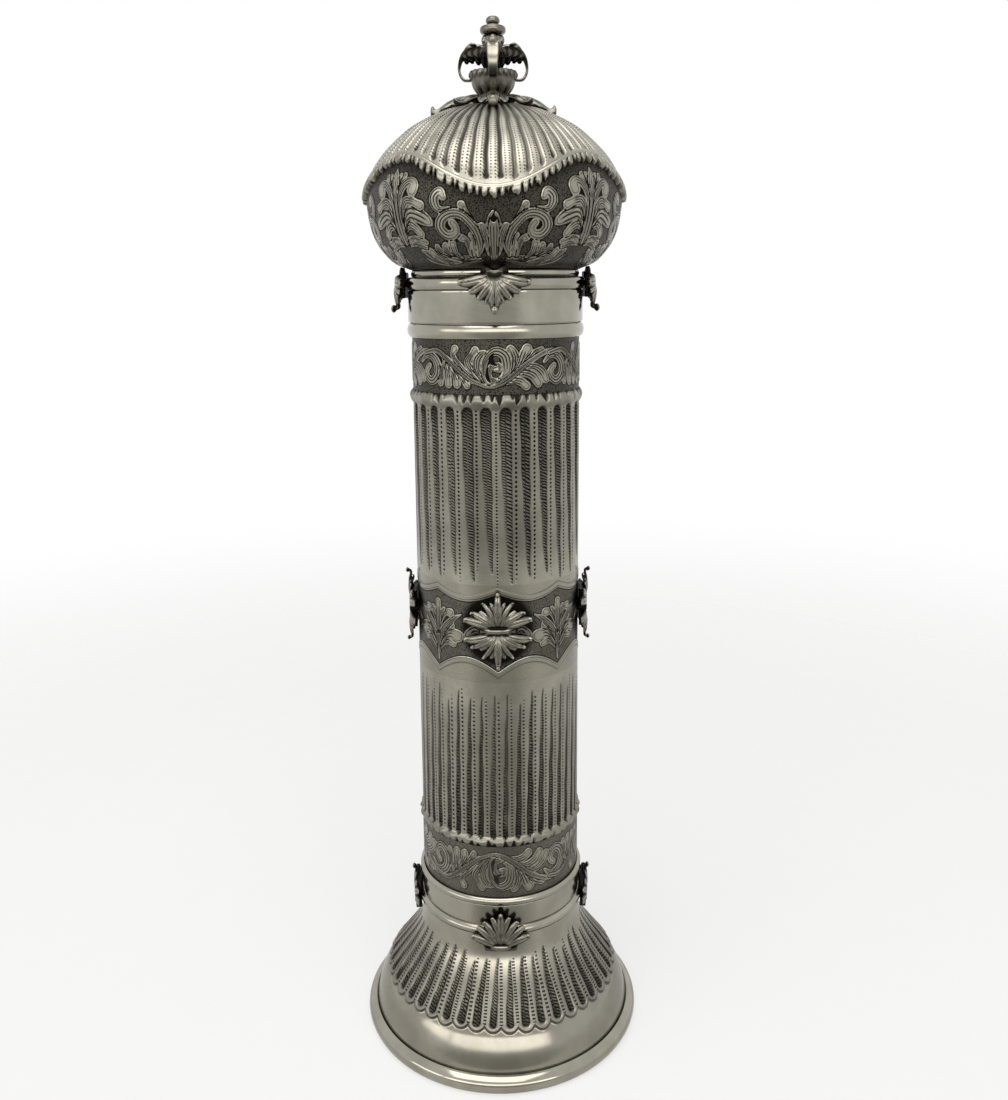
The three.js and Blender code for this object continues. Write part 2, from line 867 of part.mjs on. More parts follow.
addPiece(lid, 'lid_collar', lidCollar(), polishedSilver);
addPiece(lid, 'collar_ring', collarRing(), polishedSilver);
addPiece(lid, 'neck_bead', neckBead(), polishedSilver);
addPiece(lid, 'bulb_bowl', bulbBowl(), chasedSilver);
addPiece(lid, 'wavy_rim', wavyRim(), polishedSilver);
addPiece(lid, 'dome', dome(), chasedSilver);
addFour(lid, 'neck_leaf', neckLeaf(), castSilver);
addPiece(lid, 'rosette', rosette(), castSilver);
addPiece(lid, 'finial_cup', finialCup(), castSilver);
addFour(lid, 'crown_arm', crownArm(), castSilver);
addPiece(lid, 'finial_bud', finialBud(), castSilver);
addPiece(lid, 'finial_knob_ring', finialKnobRing(), polishedSilver);
addPiece(lid, 'finial_button', finialButton(), polishedSilver);
addPiece(lid, 'finial_stud', finialStud(), plainSteel);
addPiece(lid, 'finial_washer', finialWasher(), plainSteel);
addPiece(lid, 'finial_nut', finialNut(), plainSteel);

export default megillahCase;
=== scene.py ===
# %% [markdown]
# # A silver megillah case
#
# A megillah is a rolled parchment scroll, and this tall silver case keeps it. A round foot carries a chased tube,
# and a domed lid with a small crown lifts off the top. The whole case is sheet silver: spun or rolled to shape,
# chased with punches from the front, then darkened, and polished again so that only the hollows stay dark.
#
# The lesson first mixes the silver's finishes, because every piece takes one as it is made. Then it follows the
# silversmith: rings and collars on the lathe, the chased sheets, the cast leaves and the finial. Last comes the
# photo table with its lamps and camera.

# %% Load the fixed frame
import math

import bpy
import numpy as np
from mathutils import Matrix, Vector


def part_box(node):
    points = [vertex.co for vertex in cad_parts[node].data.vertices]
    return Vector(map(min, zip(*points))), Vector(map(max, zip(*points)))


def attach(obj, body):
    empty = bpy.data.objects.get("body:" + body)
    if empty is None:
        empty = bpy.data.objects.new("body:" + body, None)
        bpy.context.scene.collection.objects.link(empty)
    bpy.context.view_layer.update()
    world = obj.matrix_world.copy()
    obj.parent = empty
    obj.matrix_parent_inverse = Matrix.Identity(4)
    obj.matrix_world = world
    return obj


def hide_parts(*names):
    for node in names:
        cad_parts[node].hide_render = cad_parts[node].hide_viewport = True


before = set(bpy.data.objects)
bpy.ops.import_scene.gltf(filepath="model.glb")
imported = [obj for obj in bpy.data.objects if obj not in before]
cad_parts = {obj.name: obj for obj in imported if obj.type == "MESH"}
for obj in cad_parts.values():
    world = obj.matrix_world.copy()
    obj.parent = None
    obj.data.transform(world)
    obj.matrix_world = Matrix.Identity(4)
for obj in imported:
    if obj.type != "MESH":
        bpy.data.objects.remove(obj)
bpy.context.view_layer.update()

# %% [markdown]
# ## The bench
#
# All sizes below are millimetres, as on a workshop drawing, and Blender counts in metres, so every mesh is scaled
# once when it is finished. Blender's operators act on whatever is selected, and loading the frame leaves its pieces
# selected, so each new piece starts by clearing the bench.

# %% Clear the bench, and finish a piece
MM = 0.001
FULL_TURN = 2 * math.pi
SCRAP_GAP = 1e-7  # metres: points nearer than this are one


def clear_bench():
    if bpy.context.object and bpy.context.object.mode != "OBJECT":
        bpy.ops.object.mode_set(mode="OBJECT")
    bpy.ops.object.select_all(action="DESELECT")


def points_of(piece):
    flat = np.empty(len(piece.data.vertices) * 3)
    piece.data.vertices.foreach_get("co", flat)
    return flat.reshape(-1, 3)


def move_points(piece, points):
    piece.data.vertices.foreach_set("co", np.asarray(points, float).ravel())
    piece.data.update()


def finish_piece(piece, name, body, nodes, finish):
    piece.name = name
    piece.data.name = name
    piece.data.materials.clear()
    piece.data.materials.append(finish)
    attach(piece, body)
    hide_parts(*nodes)
    faces = sum(len(face.vertices) - 2 for face in piece.data.polygons)
    print(f"{name}: {faces} triangles, rides on {body}, stands for {', '.join(nodes)}")


# %% [markdown]
# A smooth line through a few points is needed everywhere: for a ring's outline, a stroke of the engraver and the
# curl of a leaf. This one is made of cubic pieces and goes exactly through its points, so the drawing's numbers can
# be used as they are.

# %% A smooth line through points
def smooth_line(points, steps=8):
    points = np.asarray(points, float)
    ends = np.vstack([2 * points[0] - points[1], points, 2 * points[-1] - points[-2]])
    t = np.linspace(0, 1, steps, endpoint=False)[:, None]
    runs = []
    for a, b, c, d in zip(ends, ends[1:], ends[2:], ends[3:]):
        runs.append(
            0.5 * (2 * b + (c - a) * t + (2 * a - 5 * b + 4 * c - d) * t**2 + (3 * b - a - 3 * c + d) * t**3)
        )
    return np.vstack(runs + [points[-1:]])


print("smooth line:", len(smooth_line([(0, 0), (1, 1), (2, 0)])), "points from 3")

# %% [markdown]
# ## The polishes
#
# Silver isn't one colour. Where the buffing wheel reaches it is bright and a little warm. In the hollows a dark
# sulphide layer stays, and the matted ground between the engraved leaves is pricked with hundreds of small punch
# marks. One base look, made of shared node groups, is mixed by marks that each piece carries on its vertices:
#
# - One mark says how dark a spot is: the sulphide kept in the hollows, and painted shade under, behind and between
#   parts.
# - "edge" is the distance to the outline of an engraved leaf, and "vein", "veined" and "cut" place its fine lines.
# - "punched" and "hatched" say where a rib has rows of dots or slanting strokes, and "buffed" where it is smooth.

# %% Small helpers for shader nodes
def put(tree, kind, inputs=None, **settings):
    node = tree.nodes.new(kind)
    for name, value in settings.items():
        setattr(node, name, value)
    for name, value in (inputs or {}).items():
        if isinstance(value, bpy.types.NodeSocket):
            tree.links.new(value, node.inputs[name])
        else:
            node.inputs[name].default_value = value
    return node


def maths(tree, operation, a, b=0.0, clamp=False):
    return put(tree, "ShaderNodeMath", {0: a, 1: b}, operation=operation, use_clamp=clamp).outputs[0]


def plus(tree, a, b, clamp=False):
    return maths(tree, "ADD", a, b, clamp)


def minus(tree, a, b):
    return maths(tree, "SUBTRACT", a, b)


def times(tree, a, b):
    return maths(tree, "MULTIPLY", a, b)


def blend_numbers(tree, share, a, b):
    return put(tree, "ShaderNodeMix", {0: share, 2: a, 3: b}, data_type="FLOAT").outputs[0]


def blend_colours(tree, share, a, b):
    return put(tree, "ShaderNodeMix", {0: share, 6: a, 7: b}, data_type="RGBA").outputs[2]


def mark(tree, name):
    return put(tree, "ShaderNodeAttribute", attribute_name=name).outputs["Fac"]


def between(tree, value, low, high):
    """0 where the value is low and 1 where it is high, with a soft step from one to the other."""
    return put(
        tree, "ShaderNodeMapRange", {0: value, 1: low, 2: high, 3: 0.0, 4: 1.0}, interpolation_type="SMOOTHSTEP"
    ).outputs[0]


def new_group(name, inputs, outputs):
    tree = bpy.data.node_groups.new(name, "ShaderNodeTree")
    for label, value in inputs.items():
        socket = tree.interface.new_socket(label, in_out="INPUT", socket_type="NodeSocketFloat")
        socket.default_value = value
    for label, kind in outputs.items():
        tree.interface.new_socket(label, in_out="OUTPUT", socket_type=kind)
    return tree, tree.nodes.new("NodeGroupInput").outputs, tree.nodes.new("NodeGroupOutput").inputs


def use_group(tree, group, inputs=None):
    return put(tree, "ShaderNodeGroup", inputs, node_tree=group).outputs


# %% [markdown]
# Cloudy handling marks: a large soft noise for the faint yellow-brown film that silver grows in a room, and a fine
# one for wipe marks. Both stay on Object coordinates, so they never swim when the lid is lifted.

# %% Group: clouding
def make_clouding():
    tree, given, made = new_group(
        "clouding", {"Patch Size": 12.0}, {"Cloud": "NodeSocketFloat", "Wipe": "NodeSocketFloat"}
    )
    place = put(tree, "ShaderNodeTexCoord").outputs["Object"]
    per_metre = maths(tree, "DIVIDE", 1000.0, given["Patch Size"])
    cloud = put(tree, "ShaderNodeTexNoise", {"Vector": place, "Scale": per_metre, "Detail": 3.0, "Roughness": 0.55})
    tree.links.new(between(tree, cloud.outputs["Fac"], 0.32, 0.68), made["Cloud"])
    fine = put(tree, "ShaderNodeMapping", {"Vector": place, "Scale": (260.0, 260.0, 1500.0)})
    wipe = put(tree, "ShaderNodeTexNoise", {"Vector": fine.outputs[0], "Scale": 1.0, "Detail": 4.0, "Roughness": 0.6})
    tree.links.new(wipe.outputs["Fac"], made["Wipe"])
    return tree


clouding = make_clouding()

# %% [markdown]
# The matted ground: round punch marks about half a millimetre apart, dark at the bottom with a bright rim. Cell
# noise gives exactly such a crowd of dots that never line up.

# %% Group: matted ground
def make_matting():
    tree, given, made = new_group(
        "matting", {"Mark Spacing": 0.55}, {"Pit": "NodeSocketFloat", "Height": "NodeSocketFloat"}
    )
    place = put(tree, "ShaderNodeTexCoord").outputs["Object"]
    per_metre = maths(tree, "DIVIDE", 1000.0, given["Mark Spacing"])
    cells = put(tree, "ShaderNodeTexVoronoi", {"Vector": place, "Scale": per_metre, "Randomness": 0.85})
    pit = between(tree, cells.outputs["Distance"], 0.5, 0.18)
    tree.links.new(pit, made["Pit"])
    tree.links.new(minus(tree, 1.0, pit), made["Height"])
    return tree


matting = make_matting()

# %% [markdown]
# Rows of round punch marks run down the ribs, and slanting chisel strokes fill the hollows beside them. Both follow
# the sheet, so they read the sheet's own UV map: U is the distance from the rib's middle and V the distance along
# it, in millimetres. "sideways" tells the left of a hollow from its right, which gives the strokes their slant, and
# a little noise keeps them from looking printed.

# %% Group: rib punches
def make_rib_punches():
    tree, given, made = new_group(
        "rib_punches",
        {"Row Offset": 0.0, "Dot Pitch": 1.6, "Dot Radius": 0.34, "Hatch Pitch": 0.7},
        {"Dots": "NodeSocketFloat", "Hatch": "NodeSocketFloat"},
    )
    sheet = put(tree, "ShaderNodeUVMap", uv_map="sheet").outputs[0]
    place = put(tree, "ShaderNodeSeparateXYZ", {0: sheet}).outputs
    across, along = place[0], place[1]
    beat = maths(tree, "FRACT", maths(tree, "DIVIDE", along, given["Dot Pitch"]))
    off_along = times(tree, minus(tree, beat, 0.5), given["Dot Pitch"])
    off_across = minus(tree, across, given["Row Offset"])
    away = maths(tree, "SQRT", plus(tree, times(tree, off_along, off_along), times(tree, off_across, off_across)))
    inner = times(tree, given["Dot Radius"], 0.6)
    outer = times(tree, given["Dot Radius"], 1.25)
    tree.links.new(between(tree, away, outer, inner), made["Dots"])
    spot = put(tree, "ShaderNodeTexCoord").outputs["Object"]
    uneven = put(tree, "ShaderNodeTexNoise", {"Vector": spot, "Scale": 420.0, "Detail": 1.0}).outputs["Fac"]
    slant = plus(tree, along, times(tree, mark(tree, "sideways"), 0.45))
    slant = plus(tree, slant, times(tree, uneven, 1.3))
    wave = maths(tree, "FRACT", maths(tree, "DIVIDE", slant, given["Hatch Pitch"]))
    stroke = between(tree, maths(tree, "ABSOLUTE", minus(tree, wave, 0.5)), 0.36, 0.12)
    tree.links.new(stroke, made["Hatch"])
    return tree


rib_punches = make_rib_punches()

# %% [markdown]
# The engraver outlines each leaf, follows the outline once more on the inside, and cuts veins along every lobe. The
# lines are drawn from the marks on the vertices, so they stay sharp at any distance.

# %% The engraver's lines
def engraver_lines(tree, dark):
    """Adds the leaves' outlines and veins to the dark. "edge" is the distance to the leaf's outline in millimetres,
    less than zero in the ground, and "vein" runs from -1 to 1 across a lobe."""
    edge = mark(tree, "edge")
    leaf = between(tree, edge, -0.05, 0.06)
    beside = between(tree, edge, -0.5, -0.2)
    ground = plus(tree, 0.66, times(tree, beside, 0.28))
    ground = blend_numbers(tree, mark(tree, "cut"), ground, 0.96)
    wave = maths(tree, "FRACT", plus(tree, times(tree, mark(tree, "vein"), 1.5), 0.5))
    line = between(tree, maths(tree, "ABSOLUTE", minus(tree, wave, 0.5)), 0.3, 0.13)
    line = times(tree, line, mark(tree, "veined"))
    inner = between(tree, maths(tree, "ABSOLUTE", minus(tree, edge, 0.62)), 0.2, 0.08)
    veins = maths(tree, "MAXIMUM", times(tree, line, 0.92), times(tree, inner, 0.7))
    dark = plus(tree, dark, blend_numbers(tree, leaf, ground, veins), clamp=True)
    return dark, minus(tree, 1.0, leaf), veins


print("engraver's lines read these marks: edge, cut, vein, veined")

# %% [markdown]
# The lobes of the cast leaves are painted dark on both slopes, partly for oxide and partly as painted shade that
# rounds them, with a fine crease along the middle.

# %% The veins and painted slope shade of a cast leaf
def cast_veins_and_slope_shade(tree):
    """The mark "vein" runs from -1 to 1 across a lobe."""
    off = maths(tree, "ABSOLUTE", mark(tree, "vein"))
    # Painted shade on both slopes of a lobe, partly oxide.
    slopes = times(tree, between(tree, off, 0.4, 0.85), 0.8)
    crease = times(tree, between(tree, off, 0.17, 0.05), 0.6)
    return times(tree, maths(tree, "MAXIMUM", slopes, crease), mark(tree, "veined"))


print("cast veins read these marks: vein, veined")

# %% [markdown]
# All the silver finishes come from these groups. They differ in how bright the metal is, how much it shines and
# which marks it reads, so one maker builds them all. A clean finish is only clouded. A marked one also goes dark
# where its marks say so, down to the black of silver oxide, and the dark is duller than the metal. The same dark
# stands for the real oxide in the hollows and for painted shade.

# %% Make a silver finish
BRIGHT = (0.36, 0.343, 0.29, 1.0)
FILM = (0.25, 0.235, 0.195, 1.0)
# The dark colour and its roughness serve the oxide and the painted shade alike.
OXIDE_AND_SHADE_COLOUR = (0.008, 0.007, 0.0055, 1.0)
OXIDE_AND_SHADE_ROUGHNESS = 0.5
BUFFED_ROUGHNESS = 0.13
BUMP_HEIGHT = 0.0002


def silver(
    name, bright=BRIGHT, film=FILM, shine=0.2, patch=9.0, bump=0.05,
    marked=True, lined=False, veined=False, ribs=None, hatching=0.6,
):
    material = bpy.data.materials.new(name)
    material.use_nodes = True
    tree = material.node_tree
    shader = tree.nodes["Principled BSDF"]
    clouds = use_group(tree, clouding, {"Patch Size": patch})
    colour = blend_colours(tree, times(tree, clouds["Cloud"], 0.6), bright, film)
    rough = plus(tree, times(tree, clouds["Wipe"], 0.10), shine - 0.05)
    height = times(tree, clouds["Wipe"], 0.02)
    if marked:
        # One mark holds the oxide in the hollows and the painted shade.
        dark = mark(tree, "patina_and_shade")
        if lined:
            dark, ground, veins = engraver_lines(tree, dark)
            mats = use_group(tree, matting, {"Mark Spacing": 0.62})
            pricked = times(tree, mats["Pit"], ground)
            dark = plus(tree, dark, times(tree, pricked, 0.3), clamp=True)
            raised = times(tree, times(tree, mats["Height"], ground), 0.6)
            height = minus(tree, plus(tree, height, raised), veins)
        if veined:
            # The cast veins, with painted shade on the lobes' slopes.
            veins = cast_veins_and_slope_shade(tree)
            dark = plus(tree, dark, times(tree, veins, 0.85), clamp=True)
            height = minus(tree, height, veins)
        if ribs:
            punches = use_group(tree, rib_punches, ribs)
            dots = times(tree, punches["Dots"], mark(tree, "punched"))
            hatch = times(tree, minus(tree, punches["Hatch"], 0.5), mark(tree, "hatched"))
            dark = plus(tree, dark, times(tree, dots, 0.95), clamp=True)
            dark = plus(tree, dark, times(tree, hatch, hatching), clamp=True)
            struck = plus(tree, dots, times(tree, hatch, 0.6))
            height = minus(tree, height, struck)
            rough = blend_numbers(tree, mark(tree, "buffed"), rough, BUFFED_ROUGHNESS)
        colour = blend_colours(tree, dark, colour, OXIDE_AND_SHADE_COLOUR)
        rough = blend_numbers(tree, dark, rough, OXIDE_AND_SHADE_ROUGHNESS)
    tree.links.new(colour, shader.inputs["Base Color"])
    tree.links.new(rough, shader.inputs["Roughness"])
    shader.inputs["Metallic"].default_value = 1.0
    raised = put(tree, "ShaderNodeBump", {"Height": height, "Strength": bump, "Distance": BUMP_HEIGHT})
    tree.links.new(raised.outputs[0], shader.inputs["Normal"])
    print("finish:", name, "with", len(tree.nodes), "nodes")
    return material


# %% [markdown]
# Polished and satin silver are for the rings and collars, and dim silver is for the small knobs at the very top. The
# engraved and crimped finishes are for the bands and rolled edges. The three ribbed ones differ in where the rows of
# dots run and how close the punches stand. Cast and antique silver are for the leaves and the finial.

# %% The silver finishes
polished = silver("polished_silver", shine=0.12, patch=14.0, marked=False)
satin = silver("satin_silver", patch=14.0, marked=False)
dim = silver(
    "dim_silver", bright=(0.17, 0.158, 0.13, 1.0), film=(0.1, 0.093, 0.077, 1.0), shine=0.26, patch=14.0,
    marked=False,
)
engraved = silver("engraved_silver", bright=(0.31, 0.295, 0.245, 1.0), shine=0.27, bump=0.5, lined=True)
crimped = silver("crimped_silver", bright=(0.4, 0.38, 0.325, 1.0), shine=0.26, bump=0.3)
ribbed = silver(
    "ribbed_silver", shine=0.28, bump=0.6,
    ribs={"Row Offset": 0.0, "Dot Pitch": 1.5, "Dot Radius": 0.46, "Hatch Pitch": 1.15},
)
rayed = silver(
    "rayed_silver", bright=(0.45, 0.43, 0.365, 1.0), shine=0.34, bump=0.6,
    ribs={"Row Offset": 0.72, "Dot Pitch": 1.1, "Dot Radius": 0.3, "Hatch Pitch": 1.2},
)
footed = silver(
    "foot_silver", bright=(0.34, 0.323, 0.272, 1.0), shine=0.26, patch=11.0, bump=0.6, hatching=0.45,
    ribs={"Row Offset": 0.3, "Dot Pitch": 1.25, "Dot Radius": 0.34, "Hatch Pitch": 1.2},
)
cast = silver(
    "cast_silver", bright=(0.33, 0.31, 0.26, 1.0), film=(0.2, 0.187, 0.155, 1.0), patch=4.0, bump=0.5, veined=True,
)
antique = silver(
    "antique_silver", bright=(0.28, 0.26, 0.215, 1.0), film=(0.12, 0.112, 0.093, 1.0), shine=0.22, patch=4.0,
    bump=0.2,
)

# %% [markdown]
# ## Rings and collars
#
# Wires and collars are round and plain, so they are turned: a circle gets the outline's number of points, its
# points are moved onto the outline, and spin sweeps it once round the axis. The seam is merged and the normals
# are made to point outwards.

# %% Turn a ring
def turn_piece(outline, steps=144):
    clear_bench()
    outline = np.asarray(outline, float)
    bpy.ops.mesh.primitive_circle_add(vertices=len(outline), radius=MM)
    piece = bpy.context.object
    move_points(piece, np.column_stack([outline[:, 0], np.zeros(len(outline)), outline[:, 1]]) * MM)
    bpy.ops.object.mode_set(mode="EDIT")
    bpy.ops.mesh.select_mode(type="EDGE")
    bpy.ops.mesh.select_all(action="DESELECT")
    bpy.ops.object.mode_set(mode="OBJECT")
    for edge in piece.data.edges:
        edge.select = all(outline[index][0] < SCRAP_GAP for index in edge.vertices)
    bpy.ops.object.mode_set(mode="EDIT")
    bpy.ops.mesh.delete(type="EDGE")
    bpy.ops.mesh.select_all(action="SELECT")
    bpy.ops.mesh.spin(steps=steps, angle=FULL_TURN, center=(0, 0, 0), axis=(0, 0, 1))
    bpy.ops.mesh.select_all(action="SELECT")
    bpy.ops.mesh.remove_doubles(threshold=SCRAP_GAP)
    bpy.ops.mesh.normals_make_consistent(inside=False)
    bpy.ops.object.mode_set(mode="OBJECT")
    bpy.ops.object.shade_smooth_by_angle(angle=math.radians(40))
    return piece


def half_round(bore, face, radius, bottom, top, steps=12):
    """The outline of a half round wire: bore is its inner radius, and its round side starts at the face radius."""
    sweep = np.linspace(-math.pi / 2, math.pi / 2, steps)
    middle, half = (bottom + top) / 2, (top - bottom) / 2
    arc = [(face + (radius - face) * math.cos(a) ** 1.3, middle + half * math.sin(a)) for a in sweep]
    return [(bore, bottom), *arc, (bore, top)]


# %% [markdown]
# Five half round wires and two plain collars. Each stands where its solid in the frame stands, so its height is
# read from the frame's box instead of being typed again.

# %% The wires and collars
def heights(node):
    low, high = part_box(node)
    return low.z / MM, high.z / MM


WIRES = [  # node, body, bore, face, radius
    ("foot_collar_ring", "case", 30.9, 32.6, 34.2),
    ("tube_foot_ring", "case", 32.3, 32.5, 33.6),
    ("mouth_ring", "case", 32.3, 32.5, 33.6),
    ("collar_ring", "lid", 31.0, 32.6, 34.0),
    ("neck_bead", "lid", 30.6, 31.3, 31.8),
]
for node, body, bore, face, radius in WIRES:
    bottom, top = heights(node)
    ring = turn_piece(half_round(bore, face, radius, bottom, top))
    finish_piece(ring, node + "_turned", body, [node], polished if body == "lid" else satin)

# %% Collars with softened edges
SOFT_EDGE = 0.35
CORNER = 0.1

for node, body, bore, radius in [("foot_collar", "case", 31.0, 32.6), ("lid_collar", "lid", 32.3, 33.2)]:
    bottom, top = heights(node)
    outline = [
        (bore, bottom), (radius - SOFT_EDGE, bottom), (radius - CORNER, bottom + CORNER),
        (radius, bottom + SOFT_EDGE), (radius, bottom + 2 * SOFT_EDGE), (radius, top - 2 * SOFT_EDGE),
        (radius, top - SOFT_EDGE), (radius - CORNER, top - CORNER), (radius - SOFT_EDGE, top), (bore, top),
    ]
    finish = polished if body == "lid" else satin
    finish_piece(turn_piece(outline), node + "_turned", body, [node], finish)

# %% [markdown]
# The foot stands on a heavy half round rim with a thin groove above it.

# %% The rim of the foot
rim_line = smooth_line(
    [(54.2, 0.0), (55.6, 0.5), (56.6, 1.8), (57.0, 3.4), (56.6, 5.0), (55.6, 6.1), (54.4, 6.85)], 4
)
rim = turn_piece([(53.3, 0.0), *map(tuple, rim_line), (53.7, 7.0), (53.3, 6.7)], 200)
finish_piece(rim, "base_rim_turned", "case", ["base_rim"], polished)

# %% [markdown]
# ## Chased sheets
#
# A silversmith chases a sheet on pitch and works with the hammer, lines and hollows sinking under the punches.
# The same is done here. A flat grid is the sheet: each column is a place round the case and each row a place along
# its outline. A table of depths presses the pattern in, the sheet is rolled round the case's outline, its seam is
# merged, and its last rows run back down inside as the wall's inner face.
#
# Rows and columns are about a quarter of a millimetre apart, fine enough for the engraver's lines. Sculpting this
# by hand would take weeks, and a bump texture would leave the outline smooth, so the depths are worked out with
# numpy.

# %% Sheet maker
def roll_sheet(outer, inner, marks, across=None, along=None):
    """outer and inner are each a table of radii and a table of heights, rows by columns."""
    rows, columns = outer[0].shape
    total = rows + len(inner[0])
    clear_bench()
    bpy.ops.mesh.primitive_grid_add(x_subdivisions=columns, y_subdivisions=total, size=1)
    piece = bpy.context.object
    flat = points_of(piece)
    column = np.rint((flat[:, 0] - flat[:, 0].min()) / np.ptp(flat[:, 0]) * columns).astype(int)
    row = np.rint((flat[:, 1] - flat[:, 1].min()) / np.ptp(flat[:, 1]) * total).astype(int)

    def closed(table, rest):
        table = np.vstack([table, rest, table[:1]])
        return np.hstack([table, table[:, :1]])[row, column]

    r, z = (closed(face, back) for face, back in zip(outer, inner))
    turn = FULL_TURN * column / columns
    move_points(piece, np.column_stack([r * np.sin(turn), -r * np.cos(turn), z]) * MM)
    none = np.zeros_like(inner[0])
    for name, table in marks.items():
        piece.data.attributes.new(name, "FLOAT", "POINT").data.foreach_set("value", closed(table, none))
    sheet = piece.data.uv_layers[0]
    sheet.name = "sheet"
    if across is not None:
        corner = np.empty(len(piece.data.loops), int)
        piece.data.loops.foreach_get("vertex_index", corner)
        places = [closed(across, none + 50)[corner], closed(along, none)[corner]]
        sheet.data.foreach_set("uv", np.column_stack(places).ravel())
    bpy.ops.object.mode_set(mode="EDIT")
    bpy.ops.mesh.select_all(action="SELECT")
    bpy.ops.mesh.remove_doubles(threshold=SCRAP_GAP)
    bpy.ops.object.mode_set(mode="OBJECT")
    bpy.ops.object.shade_smooth_by_angle(angle=math.radians(80))
    return piece


def pressed(line, relief):
    """Tables of radius and height: the outline's rows, moved out by the relief along the outline's normal."""
    tangent = np.gradient(line, axis=0)
    tangent /= np.linalg.norm(tangent, axis=1)[:, None]
    return line[:, :1] + relief * tangent[:, 1:], line[:, 1:] - relief * tangent[:, :1]


def wall_behind(line, columns):
    """The wall's inner face, from the outline's end back to its start."""
    line = np.asarray(line, float)
    return np.repeat(line[:, :1], columns, 1), np.repeat(line[:, 1:], columns, 1)


def lengths_along(line):
    return np.concatenate([[0], np.cumsum(np.linalg.norm(np.diff(line, axis=0), axis=1))])


def spread_rows(line, pitch):
    """Even rows along an outline given as radius and height, from its first point to its last."""
    line = np.asarray(line, float)
    length = lengths_along(line)
    at = np.linspace(0, length[-1], int(round(length[-1] / pitch)) + 1)
    return np.column_stack([np.interp(at, length, line[:, 0]), np.interp(at, length, line[:, 1])]), at


def soften(table, steps):
    """Blurs a table that closes on itself sideways. steps is the blur's reach in cells."""
    rows = len(table)
    tall = np.vstack([table[::-1], table, table[::-1]])
    down = np.fft.fftfreq(len(tall))[:, None]
    over = np.fft.fftfreq(tall.shape[1])[None, :]
    keep = np.exp(-2 * (math.pi * steps) ** 2 * (down**2 + over**2))
    return np.real(np.fft.ifft2(np.fft.fft2(tall) * keep))[rows:2 * rows]


def step_up(value, low, high):
    t = np.clip((value - low) / (high - low), 0, 1)
    return t * t * (3 - 2 * t)


def ridge(value, width):
    """1 where the value is zero, falling off within the width on both sides."""
    return np.exp(-((value / width) ** 2))


# %% [markdown]
# ## The engraver's strokes
#
# The leaf scrolls are drawn as an engraver cuts them, stroke by stroke: each lobe is a line with a width at each of
# its points, pressed up a little, with a thin dark outline and a vein. A later stroke lies on top of an earlier one.
# One repeat of the pattern is drawn once and stands four times round the case.

# %% Engraving table
QUARTERS = 4


class Engraving:
    """One repeat of a pattern: width and height in millimetres, centred sideways on zero."""

    def __init__(self, width, height, columns, rows):
        self.width = width
        self.cell = width / columns
        self.x, self.y = np.meshgrid((np.arange(columns) / columns - 0.5) * width, np.linspace(0, height, rows))
        self.edge = np.full_like(self.x, -3.0)
        self.vein, self.veined, self.cut = (np.zeros_like(self.x) for _ in range(3))

    def stroke(self, points, widths, hole=False):
        line = smooth_line(np.column_stack([np.asarray(points, float), widths]), 14)
        tangent = np.gradient(line[:, :2], axis=0)
        tangent /= np.linalg.norm(tangent, axis=1)[:, None] + SCRAP_GAP
        widest = line[:, 2].max()
        for shift in (-self.width, 0, self.width):
            path = line + (shift, 0, 0)
            low, high = path[:, :2].min(0) - widest - 2, path[:, :2].max(0) + widest + 2
            near = (self.x > low[0]) & (self.x < high[0]) & (self.y > low[1]) & (self.y < high[1])
            if not near.any():
                continue
            x, y = self.x[near][:, None], self.y[near][:, None]
            away = np.hypot(x - path[:, 0], y - path[:, 1]) - path[:, 2]
            place = away.argmin(1)
            off = away.min(1)
            side = tangent[place, 0] * (y[:, 0] - path[place, 1]) - tangent[place, 1] * (x[:, 0] - path[place, 0])
            inside = off < 0
            edge, cut = self.edge[near], self.cut[near]
            if hole:
                self.edge[near] = np.where(off < 0.3, np.minimum(edge, off), edge)
                self.cut[near] = np.where(off < 0.3, 1, cut)
                continue
            share = place / len(path)
            kept = np.where(edge > 0, np.minimum(edge, off - 1.35 * self.cell), np.maximum(edge, -off))
            self.cut[near] = np.where(inside, 0, np.maximum(cut, (edge > 0) * (off < 1.6 * self.cell)))
            self.edge[near] = np.where(inside, -off, kept)
            self.vein[near] = np.where(inside, side / path[place, 2], self.vein[near])
            fine = step_up(share, 0.86, 0.7) * step_up(share, 0.02, 0.1) * step_up(-off, 0.05, 0.2)
            self.veined[near] = np.where(inside, fine, self.veined[near])

    def strokes(self, table, mirror=False, shift=0.0, hole=False):
        for points, widths in table:
            for side in (1, -1) if mirror else (1,):
                self.stroke([(side * x + shift, y) for x, y in points], widths, hole)

    def around(self, slit=0.6):
        """The repeat's middle stands at the front, so the table starts half a repeat later. Slits of ground between
        two lobes are too narrow for the matting punch, so there the lobes grow until only a line is left."""
        leaf = (self.edge > 0) * 1.0
        grown = (soften(leaf, slit / self.cell) > 0.2) * 1.0
        closed = (soften(grown, slit / self.cell) > 0.8) * (1 - leaf)
        self.edge = self.edge + 0.22 * soften(closed, 0.5) * (1 - self.cut)
        self.cut = np.maximum(self.cut, closed)
        tables = {"edge": np.clip(self.edge, -1, 1), "vein": self.vein, "veined": self.veined, "cut": self.cut}
        return {
            name: np.tile(np.roll(table, -table.shape[1] // 2, axis=1), (1, QUARTERS))
            for name, table in tables.items()
        }


def raised_leaves(edge):
    """The relief in millimetres: the leaves stand up a little and the ground is sunk."""
    return 0.24 * step_up(edge, -0.15, 0.22) - 0.1


# %% [markdown]
# The running leaf scroll of the tube's bands: a wave of stem with lobes above and below, hooked scrolls under its
# crests, and a small whirl in its trough.

